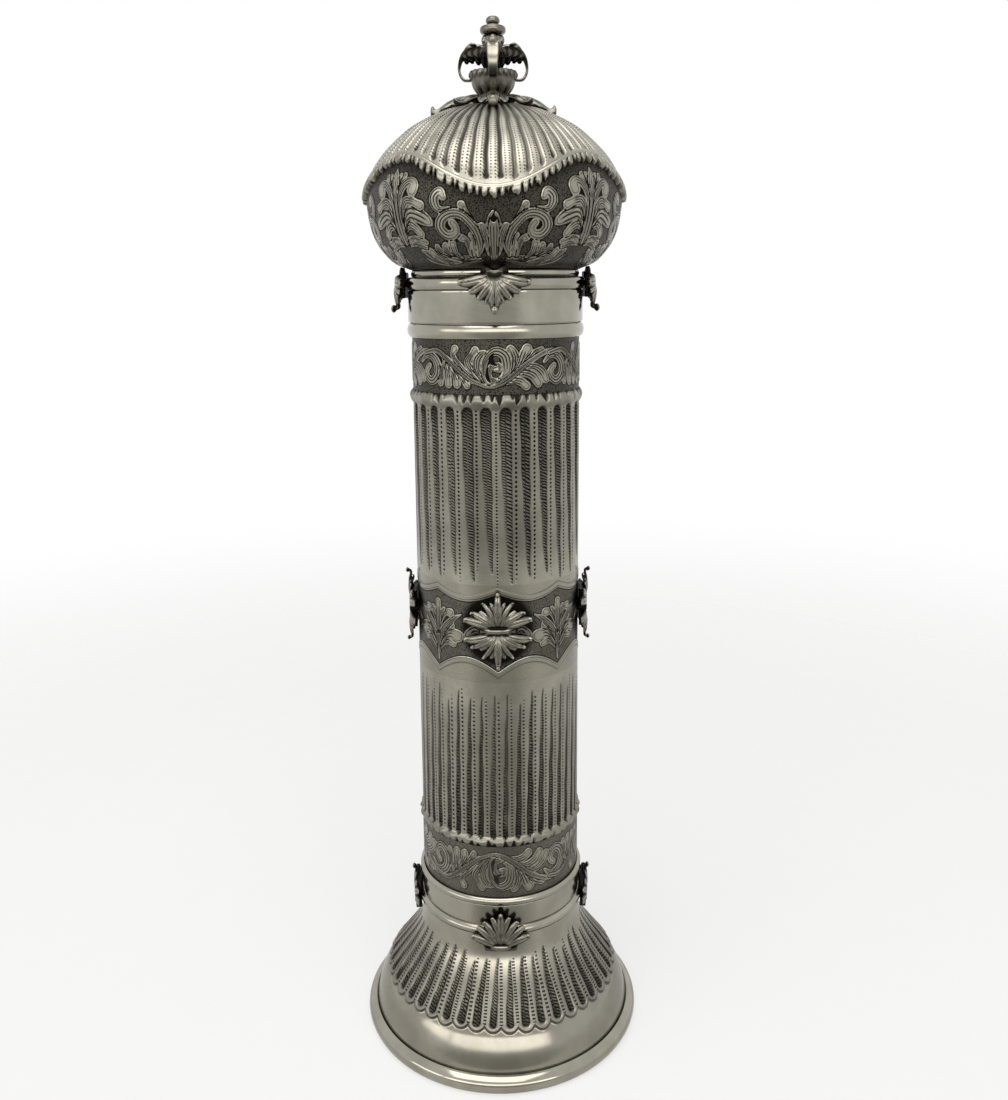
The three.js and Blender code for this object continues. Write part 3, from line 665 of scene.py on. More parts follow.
# %% The running scroll
SCROLL = [
    ([(-20.4, 13.8), (-18.8, 10.5), (-18.2, 6.7), (-17.9, 3.4)], [0.5, 1.0, 1.3, 1.4]),
    ([(-18.9, 12.7), (-16.1, 9.2), (-14.6, 6.0), (-14.3, 3.4)], [0.4, 1.1, 1.3, 1.4]),
    ([(-15.9, 10.0), (-12.8, 6.9), (-11.2, 4.9), (-10.4, 3.1)], [0.4, 1.0, 1.2, 1.2]),
    ([(-31.8, 11.3), (-28.6, 13.6), (-25.0, 13.0), (-22.9, 10.2), (-23.2, 6.6), (-25.9, 4.4), (-28.5, 5.7),
      (-28.8, 8.3), (-27.3, 9.7)], [0.6, 1.0, 1.4, 1.7, 1.8, 1.6, 1.4, 1.2, 1.2]),
    ([(-19.4, 12.0), (-20.6, 8.8), (-20.9, 6.0), (-21.4, 3.6)], [0.4, 0.8, 1.0, 1.1]),
    ([(-4.4, 3.7), (-10.0, 7.0), (-14.2, 11.5), (-15.9, 14.2), (-15.0, 16.2)], [0.5, 1.0, 1.0, 0.9, 1.5]),
    ([(-4.4, 4.2), (-7.8, 8.0), (-10.0, 11.5), (-8.6, 14.2), (-7.2, 16.0)], [0.5, 1.1, 1.2, 1.0, 1.3]),
    ([(-3.9, 4.7), (-6.4, 8.5), (-6.6, 12.0), (-5.0, 14.5), (-3.9, 15.2)], [0.5, 1.1, 1.4, 1.1, 0.8]),
    ([(4.5, 5.7), (6.7, 9.2), (7.2, 12.7), (6.4, 15.2), (5.4, 16.3)], [0.5, 1.1, 1.4, 1.4, 1.4]),
    ([(6.2, 6.7), (8.9, 10.5), (10.5, 14.0), (11.6, 16.0)], [0.5, 1.3, 1.8, 2.0]),
    ([(9.8, 10.0), (12.9, 12.4), (15.1, 14.4), (17.4, 15.8)], [0.5, 1.3, 1.5, 1.1]),
    ([(1.7, 3.5), (5.4, 4.7), (8.7, 4.7), (11.2, 2.9)], [0.4, 1.0, 1.4, 1.6]),
    ([(4.8, 5.7), (9.0, 7.7), (13.5, 6.7), (16.0, 3.7)], [0.4, 1.1, 1.5, 1.6]),
    ([(8.4, 8.7), (13.7, 9.8), (17.4, 8.0), (19.2, 5.0)], [0.4, 1.1, 1.5, 1.5]),
    ([(-1.9, 3.0), (-3.9, 6.2), (-4.1, 10.7), (-2.2, 14.2), (0.6, 15.4), (3.4, 13.7), (4.2, 10.0), (3.4, 6.5),
      (0.9, 4.7)], [0.5, 0.7, 0.9, 1.2, 1.6, 1.7, 1.6, 1.4, 1.0]),
    ([(0.9, 4.7), (-1.9, 5.7), (-2.2, 8.5), (-0.8, 10.7), (1.2, 10.5), (1.5, 8.7), (0.1, 8.7)],
     [1.0, 0.9, 0.8, 0.8, 0.8, 0.7, 0.6]),
    ([(-29.3, 14.5), (-23.4, 15.5), (-18.9, 13.0), (-14.2, 9.2), (-9.4, 5.5), (-5.5, 3.7), (-1.9, 2.7), (2.0, 4.0),
      (6.2, 6.7), (10.9, 10.5), (16.0, 13.5), (20.4, 15.2), (25.1, 15.4)],
     [0.8, 0.8, 0.9, 0.9, 0.8, 0.7, 0.6, 0.8, 0.9, 0.9, 0.9, 0.8, 0.8]),
]
SCROLL_HOLLOWS = [
    ([(-0.6, 14.6), (-1.6, 13.0), (-1.2, 11.4), (0.3, 10.6)], [0.25, 0.75, 0.7, 0.3]),
    ([(-2.7, 9.2), (-3.0, 6.8), (-2.0, 4.9)], [0.25, 0.55, 0.3]),
]

# %% [markdown]
# The three upright leaves: one for the middle band, one for the lid's bowl, and the lyre of two C-scrolls that
# stands at the bowl's front. Only the right half of each is drawn, and mirrored. The lyre's lowest strokes lie under
# the bowl's leaf and the others over it, so they are two tables.

# %% The upright leaves
BAND_LEAF = [
    ([(0.1, 9.9), (2.6, 12.9), (4.8, 14.4), (7.3, 14.1)], [0.4, 0.8, 1.0, 1.5]),
    ([(0.1, 11.1), (2.8, 15.4), (5.9, 17.9), (9.3, 17.4)], [0.5, 1.1, 1.7, 2.5]),
    ([(0.3, 13.6), (2.6, 17.4), (4.8, 20.1), (7.0, 21.1)], [0.5, 0.9, 1.1, 1.2]),
    ([(0.3, 13.1), (2.3, 18.4), (5.4, 22.1), (8.4, 24.4), (10.9, 25.9)], [0.5, 1.1, 1.1, 0.8, 0.3]),
    ([(0.6, 19.4), (1.7, 23.1), (3.7, 25.9), (6.2, 26.1)], [0.5, 0.9, 1.2, 1.7]),
    ([(0.3, 20.4), (1.5, 24.4), (3.1, 27.1)], [0.5, 0.8, 0.8]),
]
BAND_LEAF_MIDDLE = [([(0, 6.6), (0, 13.4), (0, 20.4), (0, 26.4), (0, 29.4)], [0.4, 0.9, 1.1, 1.3, 1.5])]
BOWL_LEAF = [
    ([(1.8, 13.7), (5.4, 14.3), (8.8, 13.0)], [0.5, 1.0, 1.0]),
    ([(0.8, 14.1), (3.9, 16.6), (7.0, 16.2), (9.9, 14.9)], [0.4, 0.8, 0.9, 1.0]),
    ([(1.0, 15.2), (2.6, 19.6), (4.9, 21.3), (7.3, 20.0), (8.9, 18.0)], [0.4, 0.9, 1.4, 1.4, 1.5]),
    ([(1.0, 16.7), (3.0, 22.4), (5.6, 25.2), (9.4, 24.3), (12.2, 22.6), (13.9, 21.0)],
     [0.4, 1.1, 2.1, 2.5, 2.0, 0.4]),
    ([(1.0, 19.4), (2.7, 25.8), (4.5, 29.2), (7.2, 29.1), (10.4, 27.6)], [0.4, 0.9, 1.3, 1.3, 1.7]),
    ([(0.4, 31.0), (1.8, 35.0), (4.3, 38.0)], [0.4, 0.8, 1.0]),
    ([(0.3, 31.5), (1.2, 35.2), (2.5, 38.3)], [0.3, 0.7, 0.7]),
    ([(0.8, 14.5), (1.4, 19.4), (1.1, 24.3), (1.3, 28.8), (2.6, 32.4), (4.6, 34.9), (6.9, 35.8), (8.2, 34.4),
      (7.6, 32.7)], [0.4, 0.7, 0.9, 1.0, 1.1, 1.2, 1.4, 1.9, 2.0]),
]
BOWL_LEAF_MIDDLE = [
    ([(0, 14.5), (0, 22.0), (0, 28.8), (0, 33.5), (0, 36.8), (0, 40.6)], [0.4, 0.5, 0.7, 1.3, 1.5, 0.2]),
]
LYRE_BASE = [
    ([(4.9, 6.2), (13.0, 3.6), (20.0, 3.4), (26.0, 5.8), (29.0, 9.5)], [0.5, 1.2, 1.5, 1.4, 0.6]),
    ([(5.7, 7.4), (12.8, 7.9), (18.6, 9.0), (23.8, 10.9), (27.7, 13.6)], [0.8, 1.2, 1.2, 1.0, 0.5]),
    ([(20.5, 4.2), (25.0, 6.6), (27.6, 10.0), (28.0, 12.4)], [0.5, 1.1, 1.3, 1.2]),
    ([(14.0, 5.4), (19.0, 6.4), (23.0, 8.6), (25.2, 11.6)], [0.5, 1.0, 1.3, 1.3]),
]
LYRE = [
    ([(17.5, 9.0), (20.2, 10.9), (21.4, 12.3), (21.4, 13.2)], [0.5, 0.9, 1.0, 1.0]),
    ([(14.7, 9.0), (17.5, 10.4), (18.3, 12.3), (17.9, 13.6)], [0.5, 0.9, 1.1, 1.1]),
    ([(12.8, 7.9), (14.7, 10.0), (15.1, 12.3), (15.1, 14.1)], [0.6, 1.1, 1.3, 1.4]),
    ([(8.8, 8.5), (9.2, 11.8), (9.6, 14.9), (11.2, 16.1)], [0.6, 0.8, 0.9, 1.4]),
    ([(7.7, 9.0), (7.3, 12.7), (7.3, 15.7), (8.0, 17.3)], [0.5, 0.7, 0.8, 0.8]),
    ([(14.3, 26.3), (17.9, 25.9), (19.4, 27.7), (19.4, 30.2), (17.5, 31.7), (16.3, 29.9)],
     [0.6, 1.1, 1.5, 1.6, 1.6, 1.1]),
    ([(6.1, 20.4), (8.0, 23.4), (9.6, 25.6), (10.4, 27.4)], [0.4, 0.8, 1.1, 1.3]),
    ([(6.1, 8.5), (4.9, 13.2), (5.7, 18.1), (8.0, 21.5), (10.8, 24.1), (14.3, 24.5), (17.5, 22.7), (18.3, 19.7),
      (16.3, 17.3), (13.5, 17.7), (12.8, 19.7), (13.9, 21.5)],
     [0.6, 1.3, 1.5, 1.4, 1.4, 1.5, 1.6, 1.7, 1.7, 1.5, 1.3, 1.2]),
    ([(1.8, 9.0), (2.5, 14.5), (3.3, 18.1), (4.1, 20.4)], [0.6, 0.9, 1.1, 1.0]),
    ([(2.0, 20.6), (1.3, 23.2), (0.2, 25.2)], [0.5, 0.6, 0.3]),
]
LYRE_MIDDLE = [([(0, 7.5), (0, 14.0), (0, 19.0), (0, 21.6)], [1.2, 1.5, 1.6, 1.4])]
LYRE_GEM = [([(0, 22.3), (0, 23.9)], [0.95, 0.3])]

# %% [markdown]
# ## The tube's two scroll bands
#
# Both bands carry the same running scroll, the lower one upside down. A band is a sheet of its own, closed by its
# inner face, and it fits between the wires and the crimped edges.

# %% A scroll band
TUBE_RADIUS = 32.0
TUBE_BORE = 30.2
TUBE_ZONES = {  # bottom and top of each sheet
    "lower_scroll_band": (68.0, 89.5),
    "lower_flutes": (89.5, 157.0),
    "middle_band": (157.0, 195.0),
    "upper_flutes": (195.0, 265.5),
    "upper_scroll_band": (265.5, 285.0),
}
SCROLL_ROW_PITCH = 0.26
SCROLL_HEIGHT = 19.5


def tube_rows(zone, pitch):
    low, high = TUBE_ZONES[zone]
    return spread_rows([(TUBE_RADIUS, low), (TUBE_RADIUS, high)], pitch)[0]


def tube_sheet(zone, rows, relief, marks, finish, across=None, along=None):
    """Rolls one zone of the tube, closed by the tube's inner face, and finishes it."""
    low, high = TUBE_ZONES[zone]
    wall = wall_behind([(TUBE_BORE, high), (TUBE_BORE, low)], relief.shape[1])
    piece = roll_sheet(pressed(rows, relief), wall, marks, across, along)
    finish_piece(piece, zone, "case", ["tube"], finish)


def scroll_band(zone, flipped, tone):
    rows = tube_rows(zone, SCROLL_ROW_PITCH)
    pattern = Engraving(FULL_TURN * TUBE_RADIUS / QUARTERS, SCROLL_HEIGHT, 200, len(rows))
    pattern.strokes(SCROLL)
    pattern.strokes(SCROLL_HOLLOWS, hole=True)
    marks = pattern.around()
    if flipped:
        marks = {name: table[::-1] for name, table in marks.items()}
    relief = raised_leaves(marks["edge"])
    marks["patina_and_shade"] = np.where(marks["edge"] < 0, tone, tone / 2)
    tube_sheet(zone, rows, relief, marks, engraved)


scroll_band("upper_scroll_band", flipped=False, tone=0.14)
scroll_band("lower_scroll_band", flipped=True, tone=-0.1)

# %% The plain bezel inside the lid
bezel = turn_piece(
    [(TUBE_BORE, 285.0), (TUBE_RADIUS, 285.0), (TUBE_RADIUS, 300.9), (31.4, 301.5), (TUBE_BORE, 301.5)]
)
finish_piece(bezel, "tube_bezel", "case", ["tube"], polished)

# %% [markdown]
# ## The flutes
#
# Each flute was hammered freehand, so no two are alike: the pointed ends stop at uneven heights, the sides wander a
# little, and the depth changes. A seeded random generator gives each flute its own small errors, the same on every
# run.

# %% Places in a row of repeats
def turns_of(columns):
    """Where each column stands round the case, from 0 to 1."""
    return np.arange(columns) / columns


def in_turn(turns, count):
    """Which of the repeats each column lies in, and how far aside of that repeat's middle, from -0.5 to 0.5."""
    phase = turns * count
    return np.floor(phase).astype(int) % count, phase - np.floor(phase) - 0.5


def nearest_rib(turns, count):
    return np.rint(turns * count).astype(int) % count


def rib_places(count, turns, along, seed):
    """Distance along each rib, started and stretched a little differently on each, so that no two rows match."""
    rib = nearest_rib(turns, count)
    chance = np.random.default_rng(seed)
    start = chance.uniform(0, 1.4, count)[rib]
    stretch = chance.uniform(0.82, 1.2, count)[rib]
    return along * stretch + start


print("column 100 of 600 lies in repeat", int(in_turn(turns_of(600), 28)[0][100]), "of 28")

# %% Flute table
def flute_table(count, turns, along, point_at, round_at, width, depth, seed, slump=3.0, pitch=None):
    """Hammered flutes, each from its point to its round end: a steep hollow at the round end, a slope that falls to
    one sharp side at the point. Gives the relief, the marks and the distance from the rib's middle."""
    number, aside = in_turn(turns, count)
    chance = np.random.default_rng(seed)
    late = chance.uniform(-1, 1, count)[number] * slump
    wide = width * (1 + chance.uniform(-0.1, 0.1, count)[number])
    lean = chance.uniform(-0.25, 0.25, count)[number]
    beat = chance.uniform(0, 9, count)[number]
    tone = chance.uniform(0.85, 1.12, count)[number]
    row_end = chance.uniform(-0.02, 0.06, count)[nearest_rib(turns, count)]
    pitch = FULL_TURN * TUBE_RADIUS / count if pitch is None else pitch
    x = aside[None, :] * pitch
    sign = 1 if round_at > point_at else -1
    along = along[:, None]
    run = (sign * (along - point_at) - late) / abs(round_at - point_at)
    left = np.clip(run, 0, 1)
    from_end = sign * (round_at - along)
    sway = 0.12 * np.sin(along * 0.35 + beat) + lean * left
    breadth = wide * left**0.36 + SCRAP_GAP
    near_end = np.clip(2 * from_end / breadth, 0, 1)
    half = breadth / 2 * np.sqrt(near_end * (2 - near_end))
    off = x - wide / 2 - sway + breadth / 2
    to_right, to_left = half - off, half + off
    inside = step_up(np.minimum(to_right, to_left), -0.1, 0.22) * step_up(left, 0.0, 0.02) * (from_end > 0)
    share = np.clip(to_left / (2 * half + SCRAP_GAP), 0, 1)
    steep = step_up(np.minimum(to_right, to_left), 0.0, 0.75)
    slope = share**1.3 * step_up(to_right, 0.0, 0.45)
    blend = step_up(left, 0.3, 0.72)
    relief = -depth * (0.5 + 0.5 * left) * (blend * steep + (1 - blend) * slope) * inside
    # The dark of a hollow is partly oxide and partly painted shade: darker along both walls and towards the sharp
    # side, with a painted shadow of the rolled edge on the round end.
    sharp = ridge(to_right, 0.4)
    soft = ridge(to_left, 0.35) * blend
    painted_shade = step_up(from_end, 8.0, 0.5) * blend
    shade = (0.7 + 0.18 * left) * tone * (0.55 + 0.45 * step_up(share, 0.0, 0.6 - 0.4 * left))
    dark = np.clip(shade + 0.6 * sharp + 0.4 * soft + 0.25 * painted_shade, 0, 0.96) * inside
    marks = {
        "patina_and_shade": dark,
        "hatched": inside * step_up(to_left, 0.1, 0.5) * (1 - 0.6 * sharp) * (1 - 0.6 * painted_shade),
        "punched": 1.0 * (run > row_end) * (from_end > 1.2) * (1 - inside),
        "sideways": np.broadcast_to(x, relief.shape),
    }
    return relief, marks, np.abs(np.abs(x) - pitch / 2)


# %% Crimped edge
def crimp_table(teeth, turns, along, low, high, seed):
    """A rolled edge, notched from above by uneven nips of the pliers. It goes from the flutes' ends, low, to the
    band, high. Gives the relief and the dark: oxide and painted shade in the notches, a painted shadow line where the
    roll meets the band, and more dark towards the flutes."""
    number, aside = in_turn(turns, teeth)
    chance = np.random.default_rng(seed)
    push = chance.uniform(-0.3, 0.3, teeth)[number]
    deep = chance.uniform(0.35, 1.0, teeth)[number]
    wide = chance.uniform(0.2, 0.5, teeth)[number]
    lean = chance.uniform(-0.35, 0.35, teeth)[number]
    t = np.clip((along[:, None] - low) / (high - low), 0, 1)
    bottom = 1 - 0.8 * deep
    opened = np.clip((t - bottom) / (1 - bottom), 0, 1)
    notch = step_up(wide * opened**0.8 - np.abs(aside - push - lean * (1 - t)), -0.06, 0.09) * (opened > 0)
    swell = np.sin(math.pi * t) ** 0.7
    wave = 1 + 0.3 * np.sin(turns * 160 + 2 * np.sin(turns * 50))
    # A painted shadow line where the roll meets the band.
    seam = ridge(along[:, None] - high, 0.6)
    # Darker towards the flutes' end of the roll.
    darker_by_flutes = 0.25 * step_up(t, 0.9, 0.2) + 0.1
    dark = np.clip((t > 0) * darker_by_flutes + notch + 0.7 * seam, 0, 0.96)
    return wave * swell * (1 - 0.95 * notch) - 0.4 * notch, dark


# %% [markdown]
# The upper flutes hang from a crimped edge under the scroll band, wide and round at the top and pointed below.
# The lower flutes are the same the other way up, narrower and closer together.

# %% The fluted zones of the tube
FLUTE_COLUMNS = 600
FLUTE_ROW_PITCH = 0.5


def fluted_zone(zone, count, point_at, round_at, width, depth, crimp, teeth, seed, patina):
    rows = tube_rows(zone, FLUTE_ROW_PITCH)
    along = rows[:, 1]
    turns = turns_of(FLUTE_COLUMNS)
    relief, marks, across = flute_table(count, turns, along, point_at, round_at, width, depth, seed)
    edge_from, edge_to = crimp
    sign = 1 if edge_to > edge_from else -1
    edge, notch = crimp_table(teeth, turns, sign * along, sign * edge_from, sign * edge_to, seed + 1)
    smoky = 0.5 + 0.5 * np.sin(turns * 44 + 1.7 * np.sin(turns * 25) + seed)
    film = patina * (0.6 + 0.8 * smoky) * step_up(-sign * (along - point_at), 1.0, -14.0)[:, None]
    # The crimp's dark joins the hollows' dark: oxide with painted shade in the notches, and a painted shadow line at
    # the band.
    marks["patina_and_shade"] = np.maximum(1 - (1 - marks["patina_and_shade"]) * (1 - film), notch)
    relief = soften(relief, 0.5) + edge
    across = np.repeat(across, len(rows), 0)
    places = rib_places(count, turns, along[:, None], seed + 2)
    tube_sheet(zone, rows, relief, marks, ribbed, across, places)


fluted_zone(
    "upper_flutes", count=28, point_at=197.0, round_at=260.8, width=4.4, depth=1.0, crimp=(260.4, 265.5),
    teeth=58, seed=11, patina=0.34,
)
fluted_zone(
    "lower_flutes", count=42, point_at=151.5, round_at=92.9, width=2.6, depth=0.9, crimp=(93.4, 89.5),
    teeth=64, seed=12, patina=0.14,
)

# %% [markdown]
# ## The middle band
#
# Between the flutes lies a band with a cusped border above and below. A bright ribbon and a thin cut line follow
# each border, the ground between is matted dark, and an upright leaf stands between the cast ornaments. Round each
# ornament the ground is darker still, a painted shadow.

# %% The middle band
MIDDLE_ROW_PITCH = 0.285
ORNAMENT_HEIGHT = 178.1
CUSPS = 8
BAND_LEAF_EYE = [([(0, 17.0), (0, 17.8)], [0.5, 0.5])]
LOBE_BY_ORNAMENT = [([(6.4, 19.0), (8.8, 20.2), (10.6, 18.4)], [0.8, 1.8, 2.4])]


def cusped(turns, base, swell):
    return base + swell * np.sin(math.pi * (turns * CUSPS - np.floor(turns * CUSPS)))


def middle_band(zone):
    low, high = TUBE_ZONES[zone]
    rows = tube_rows(zone, MIDDLE_ROW_PITCH)
    along = rows[:, 1:]
    pattern = Engraving(FULL_TURN * TUBE_RADIUS / QUARTERS, high - low, 180, len(rows))
    half = pattern.width / 2
    pattern.strokes(BAND_LEAF, mirror=True, shift=half)
    pattern.strokes(BAND_LEAF_MIDDLE, shift=half)
    pattern.strokes(BAND_LEAF_EYE, shift=half, hole=True)
    pattern.strokes(LOBE_BY_ORNAMENT, mirror=True)
    marks = pattern.around()
    turns = turns_of(marks["edge"].shape[1])
    floor_line = cusped(turns, base=161.2, swell=5.6)
    roof_line = cusped(turns, base=191.6, swell=-3.2)
    outside = np.maximum(along - roof_line, floor_line - along)
    marks["edge"] = np.maximum(np.minimum(marks["edge"], -outside), np.clip(outside, -1, 1))
    marks["veined"] = marks["veined"] * (outside < -0.3)
    marks["cut"] = np.maximum(marks["cut"] * (outside < 0), 1.0 * (np.abs(outside) < 0.35))
    fine = ridge(outside - 2.4, 0.22)
    place = (turns * QUARTERS - np.rint(turns * QUARTERS)) * pattern.width
    # Round each cast ornament the ground is darkened: a painted shadow.
    painted_ornament_shadow = step_up(np.hypot(place, along - ORNAMENT_HEIGHT), 16.5, 10.5)
    marks["patina_and_shade"] = np.clip(0.75 * fine + 0.5 * painted_ornament_shadow, 0, 0.95)
    relief = raised_leaves(marks["edge"]) - 0.14 * step_up(outside, 2.2, 2.7) - 0.05 * fine
    tube_sheet(zone, rows, relief, marks, engraved)


middle_band("middle_band")

# %% [markdown]
# ## The foot
#
# The foot is a flared bell. Its flutes fan out from the neck and end in a row of U-shaped tips above a polished
# belly. They are made like the tube's, but the bell's outline is curved, so the rows follow a smooth line.

# %% The foot's bell
FOOT_LINE = smooth_line(
    [(32.5, 52.0), (32.5, 50.0), (32.7, 46.0), (33.8, 42.0), (36.3, 37.5), (39.5, 32.5), (43.2, 27.0), (47.0, 21.5),
     (49.2, 18.5), (51.4, 14.0), (52.6, 10.0), (53.1, 7.0), (53.1, 3.0)], 12
)[::-1]
FOOT_WALL = smooth_line(
    [(31.0, 52.0), (31.0, 46.0), (34.5, 37.5), (41.4, 27.0), (47.6, 18.5), (51.3, 8.0), (51.4, 3.0)], 2
)
FOOT_ROW_PITCH = 0.42
FOOT_COLUMNS = 675
FOOT_FLUTES = 45
TIPS_HEIGHT = 21.8
POINTS_HEIGHT = 43.0


def foot_bell():
    rows, along = spread_rows(FOOT_LINE, FOOT_ROW_PITCH)
    turns = turns_of(FOOT_COLUMNS)
    tip, top = (along[np.abs(rows[:, 1] - height).argmin()] for height in (TIPS_HEIGHT, POINTS_HEIGHT))
    relief, marks, across = flute_table(
        FOOT_FLUTES, turns, along, point_at=top, round_at=tip, width=3.5, depth=0.95, seed=21, slump=2.2,
        pitch=FULL_TURN * rows[:, :1] / FOOT_FLUTES,
    )
    number, aside = in_turn(turns, FOOT_FLUTES)
    in_petal = np.abs(aside) * 2
    droop = np.random.default_rng(22).uniform(-0.35, 0.35, FOOT_FLUTES)[number]
    petal_end = tip - 1.5 + droop + 2.1 * in_petal**2.4
    along = along[:, None]
    beyond = petal_end - along
    belly = step_up(beyond, -0.1, 0.5)
    rim = ridge(beyond + 0.7, 0.7)
    shadow = ridge(beyond - 0.1, 0.4) * (0.55 + 0.45 * in_petal)
    rise = 0.75 * step_up(along, tip + 22, tip)
    relief = (soften(relief, 0.5) + rise + 0.25 * rim) * (1 - belly)
    film = 0.3 * step_up(along, top - 2, top - 12)
    dark = (1 - (1 - marks["patina_and_shade"]) * (1 - film)) * (1 - belly)
    marks["patina_and_shade"] = np.clip(dark + 0.8 * shadow + 0.13 * belly, 0, 0.95)
    marks["buffed"] = belly
    marks["punched"] = marks["punched"] * (1 - belly)
    places = rib_places(FOOT_FLUTES, turns, along, 23)
    return roll_sheet(pressed(rows, relief), wall_behind(FOOT_WALL, FOOT_COLUMNS), marks, across, places)


piece = foot_bell()
finish_piece(piece, "foot_bell", "case", ["foot_skirt"], footed)

# %% [markdown]
# ## The lid's bulb
#
# The bulb is made in two halves, a chased bowl below and a rayed dome above, joined at a wavy seam. A crimped lip
# covers the seam. Both halves follow the same outline, so the wave is cut out of one smooth line: for each place
# round the case the rows are spread between the neck and the seam, or the seam and the top.

# %% The bulb's outline and its seam
BULB_LINE = smooth_line(
    [(31.8, 309.5), (37.46, 312.0), (41.57, 316.0), (44.23, 320.0), (45.87, 324.0), (46.9, 328.0), (47.5, 332.0),
     (47.6, 336.0), (47.0, 340.0), (45.7, 344.0), (43.4, 348.0), (40.2, 352.0), (36.13, 356.0), (31.3, 360.0),
     (24.0, 364.0), (16.0, 367.0), (8.0, 368.2)], 10
)
BULB_RUN = lengths_along(BULB_LINE)
SEAM_HEIGHT = 343.5
SEAM_WAVE = 6.0
SEAM_DROOP = 1.5


def on_bulb(run):
    return np.interp(run, BULB_RUN, BULB_LINE[:, 0]), np.interp(run, BULB_RUN, BULB_LINE[:, 1])


def seam_run(turns):
    """The seam dips at the front, the back and both sides, and deepest at the front."""
    a = turns * FULL_TURN
    height = SEAM_HEIGHT - SEAM_WAVE * np.cos(QUARTERS * a) - SEAM_DROOP * np.cos(a)
    return np.interp(height, BULB_LINE[:, 1], BULB_RUN)


def bulb_normal(run):
    r0, z0 = on_bulb(run - 0.3)
    r1, z1 = on_bulb(run + 0.3)
    size = np.hypot(r1 - r0, z1 - z0)
    return (z1 - z0) / size, -(r1 - r0) / size


# %% [markdown]
# The same sheet maker serves here. It takes the outer face as tables of radii and heights, so the rows may differ
# from column to column.

# %% A sheet between two lines on the bulb
def bulb_sheet(run, relief, wall, marks, across=None, along=None):
    radius, height = on_bulb(run)
    out_r, out_z = bulb_normal(run)
    back = np.linspace(len(run) - 1, 0, 6).astype(int)
    outer = radius + relief * out_r, height + relief * out_z
    inner = (radius - wall * out_r)[back], (height - wall * out_z)[back]
    return roll_sheet(outer, inner, marks, across, along)


# %% [markdown]
# The bowl's pattern is drawn on a flat table first, from the neck up. Each point of the bowl then looks up its place
# in the drawing by its distance from the neck.

# %% The bowl
BOWL_RADIUS = 45.0  # the drawing is a quarter of this circle wide
BOWL_COLUMNS, BOWL_ROWS = 776, 120
DRAWN_HEIGHT = 46.0
DRAWN_ROWS = 180
BULB_WALL = 1.4


def bowl():
    seam = seam_run(turns_of(BOWL_COLUMNS))
    run = np.linspace(0, 1, BOWL_ROWS)[:, None] * seam
    pattern = Engraving(FULL_TURN * BOWL_RADIUS / QUARTERS, DRAWN_HEIGHT, BOWL_COLUMNS // QUARTERS, DRAWN_ROWS)
    half = pattern.width / 2
    pattern.strokes(LYRE_BASE, mirror=True)
    pattern.strokes(BOWL_LEAF, mirror=True, shift=half)
    pattern.strokes(BOWL_LEAF_MIDDLE, shift=half)
    pattern.strokes(LYRE, mirror=True)
    pattern.strokes(LYRE_MIDDLE)
    pattern.strokes(LYRE_GEM, hole=True)
    at = np.clip(run / DRAWN_HEIGHT * (DRAWN_ROWS - 1), 0, DRAWN_ROWS - 1.01)
    below = at.astype(int)
    part = at - below
    column = np.broadcast_to(np.arange(BOWL_COLUMNS), run.shape)
    marks = {
        name: table[below, column] * (1 - part) + table[below + 1, column] * part
        for name, table in pattern.around(slit=0.75).items()
    }
    leaf = step_up(marks["edge"], -0.1, 0.1)
    # The ground between the leaves is darker towards the seam.
    marks["patina_and_shade"] = (0.14 + 0.2 * ridge(seam - run, 6.0)) * (1 - leaf)
    return bulb_sheet(run, raised_leaves(marks["edge"]) - 0.1, BULB_WALL, marks)


piece = bowl()
finish_piece(piece, "bowl_chased", "lid", ["bulb_bowl"], engraved)

# %% [markdown]
# The dome's rays are broad bright ribs with two rows of dots, parted by narrow dark grooves with round ends.

# %% The dome
DOME_COLUMNS, DOME_ROWS = 840, 110
DOME_RAYS = 60


def dome():
    turns = turns_of(DOME_COLUMNS)
    seam = seam_run(turns)
    run = seam + np.linspace(0, 1, DOME_ROWS)[:, None] ** 0.95 * (BULB_RUN[-1] - seam)
    radius, _ = on_bulb(run)
    number, aside = in_turn(turns, DOME_RAYS)
    chance = np.random.default_rng(31)
    late = chance.uniform(0.0, 1.2, DOME_RAYS)[number]
    wide = chance.uniform(0.8, 1.2, DOME_RAYS)[number]
    beat = chance.uniform(0, 9, DOME_RAYS)[number]
    tone = chance.uniform(0.8, 1.15, DOME_RAYS)[number]
    pitch = FULL_TURN * radius / DOME_RAYS
    x = aside * pitch
    from_end = run - seam - 0.7 - late
    knob = 0.35 * ridge(from_end - 1.2, 1.6)
    half = np.minimum((0.6 + knob) * wide, pitch * 0.27)
    half = half * np.sqrt(np.clip(from_end / 0.9, 0, 1))
    off = x - 0.12 * np.sin(run * 0.4 + beat)
    groove = step_up(half - np.abs(off), -0.2, 0.45) * (from_end > 0)
    slope = step_up(off, -2.1, -1.0) * step_up(off, -0.3, -0.8) * (from_end > 1)
    dark = np.clip(0.05 + (0.78 * groove + 0.16 * slope) * tone, 0, 0.96)
    # Near the middle, under the rosette, the dome is painted dark as shade.
    dark = np.maximum(dark, 0.85 * step_up(radius, 15.0, 10.0))
    marks = {
        "patina_and_shade": dark,
        "hatched": slope,
        "punched": 0.75 * step_up(run - seam, 1.4, 2.2) * step_up(radius, 15.0, 20.0) * (1 - groove),
        "sideways": x,
    }
    across = np.abs(np.abs(x) - pitch / 2)
    places = rib_places(DOME_RAYS, turns, run, 32)
    return bulb_sheet(run, soften(-0.8 * groove, 0.4), BULB_WALL, marks, across, places)


piece = dome()
finish_piece(piece, "dome_rayed", "lid", ["dome"], rayed)

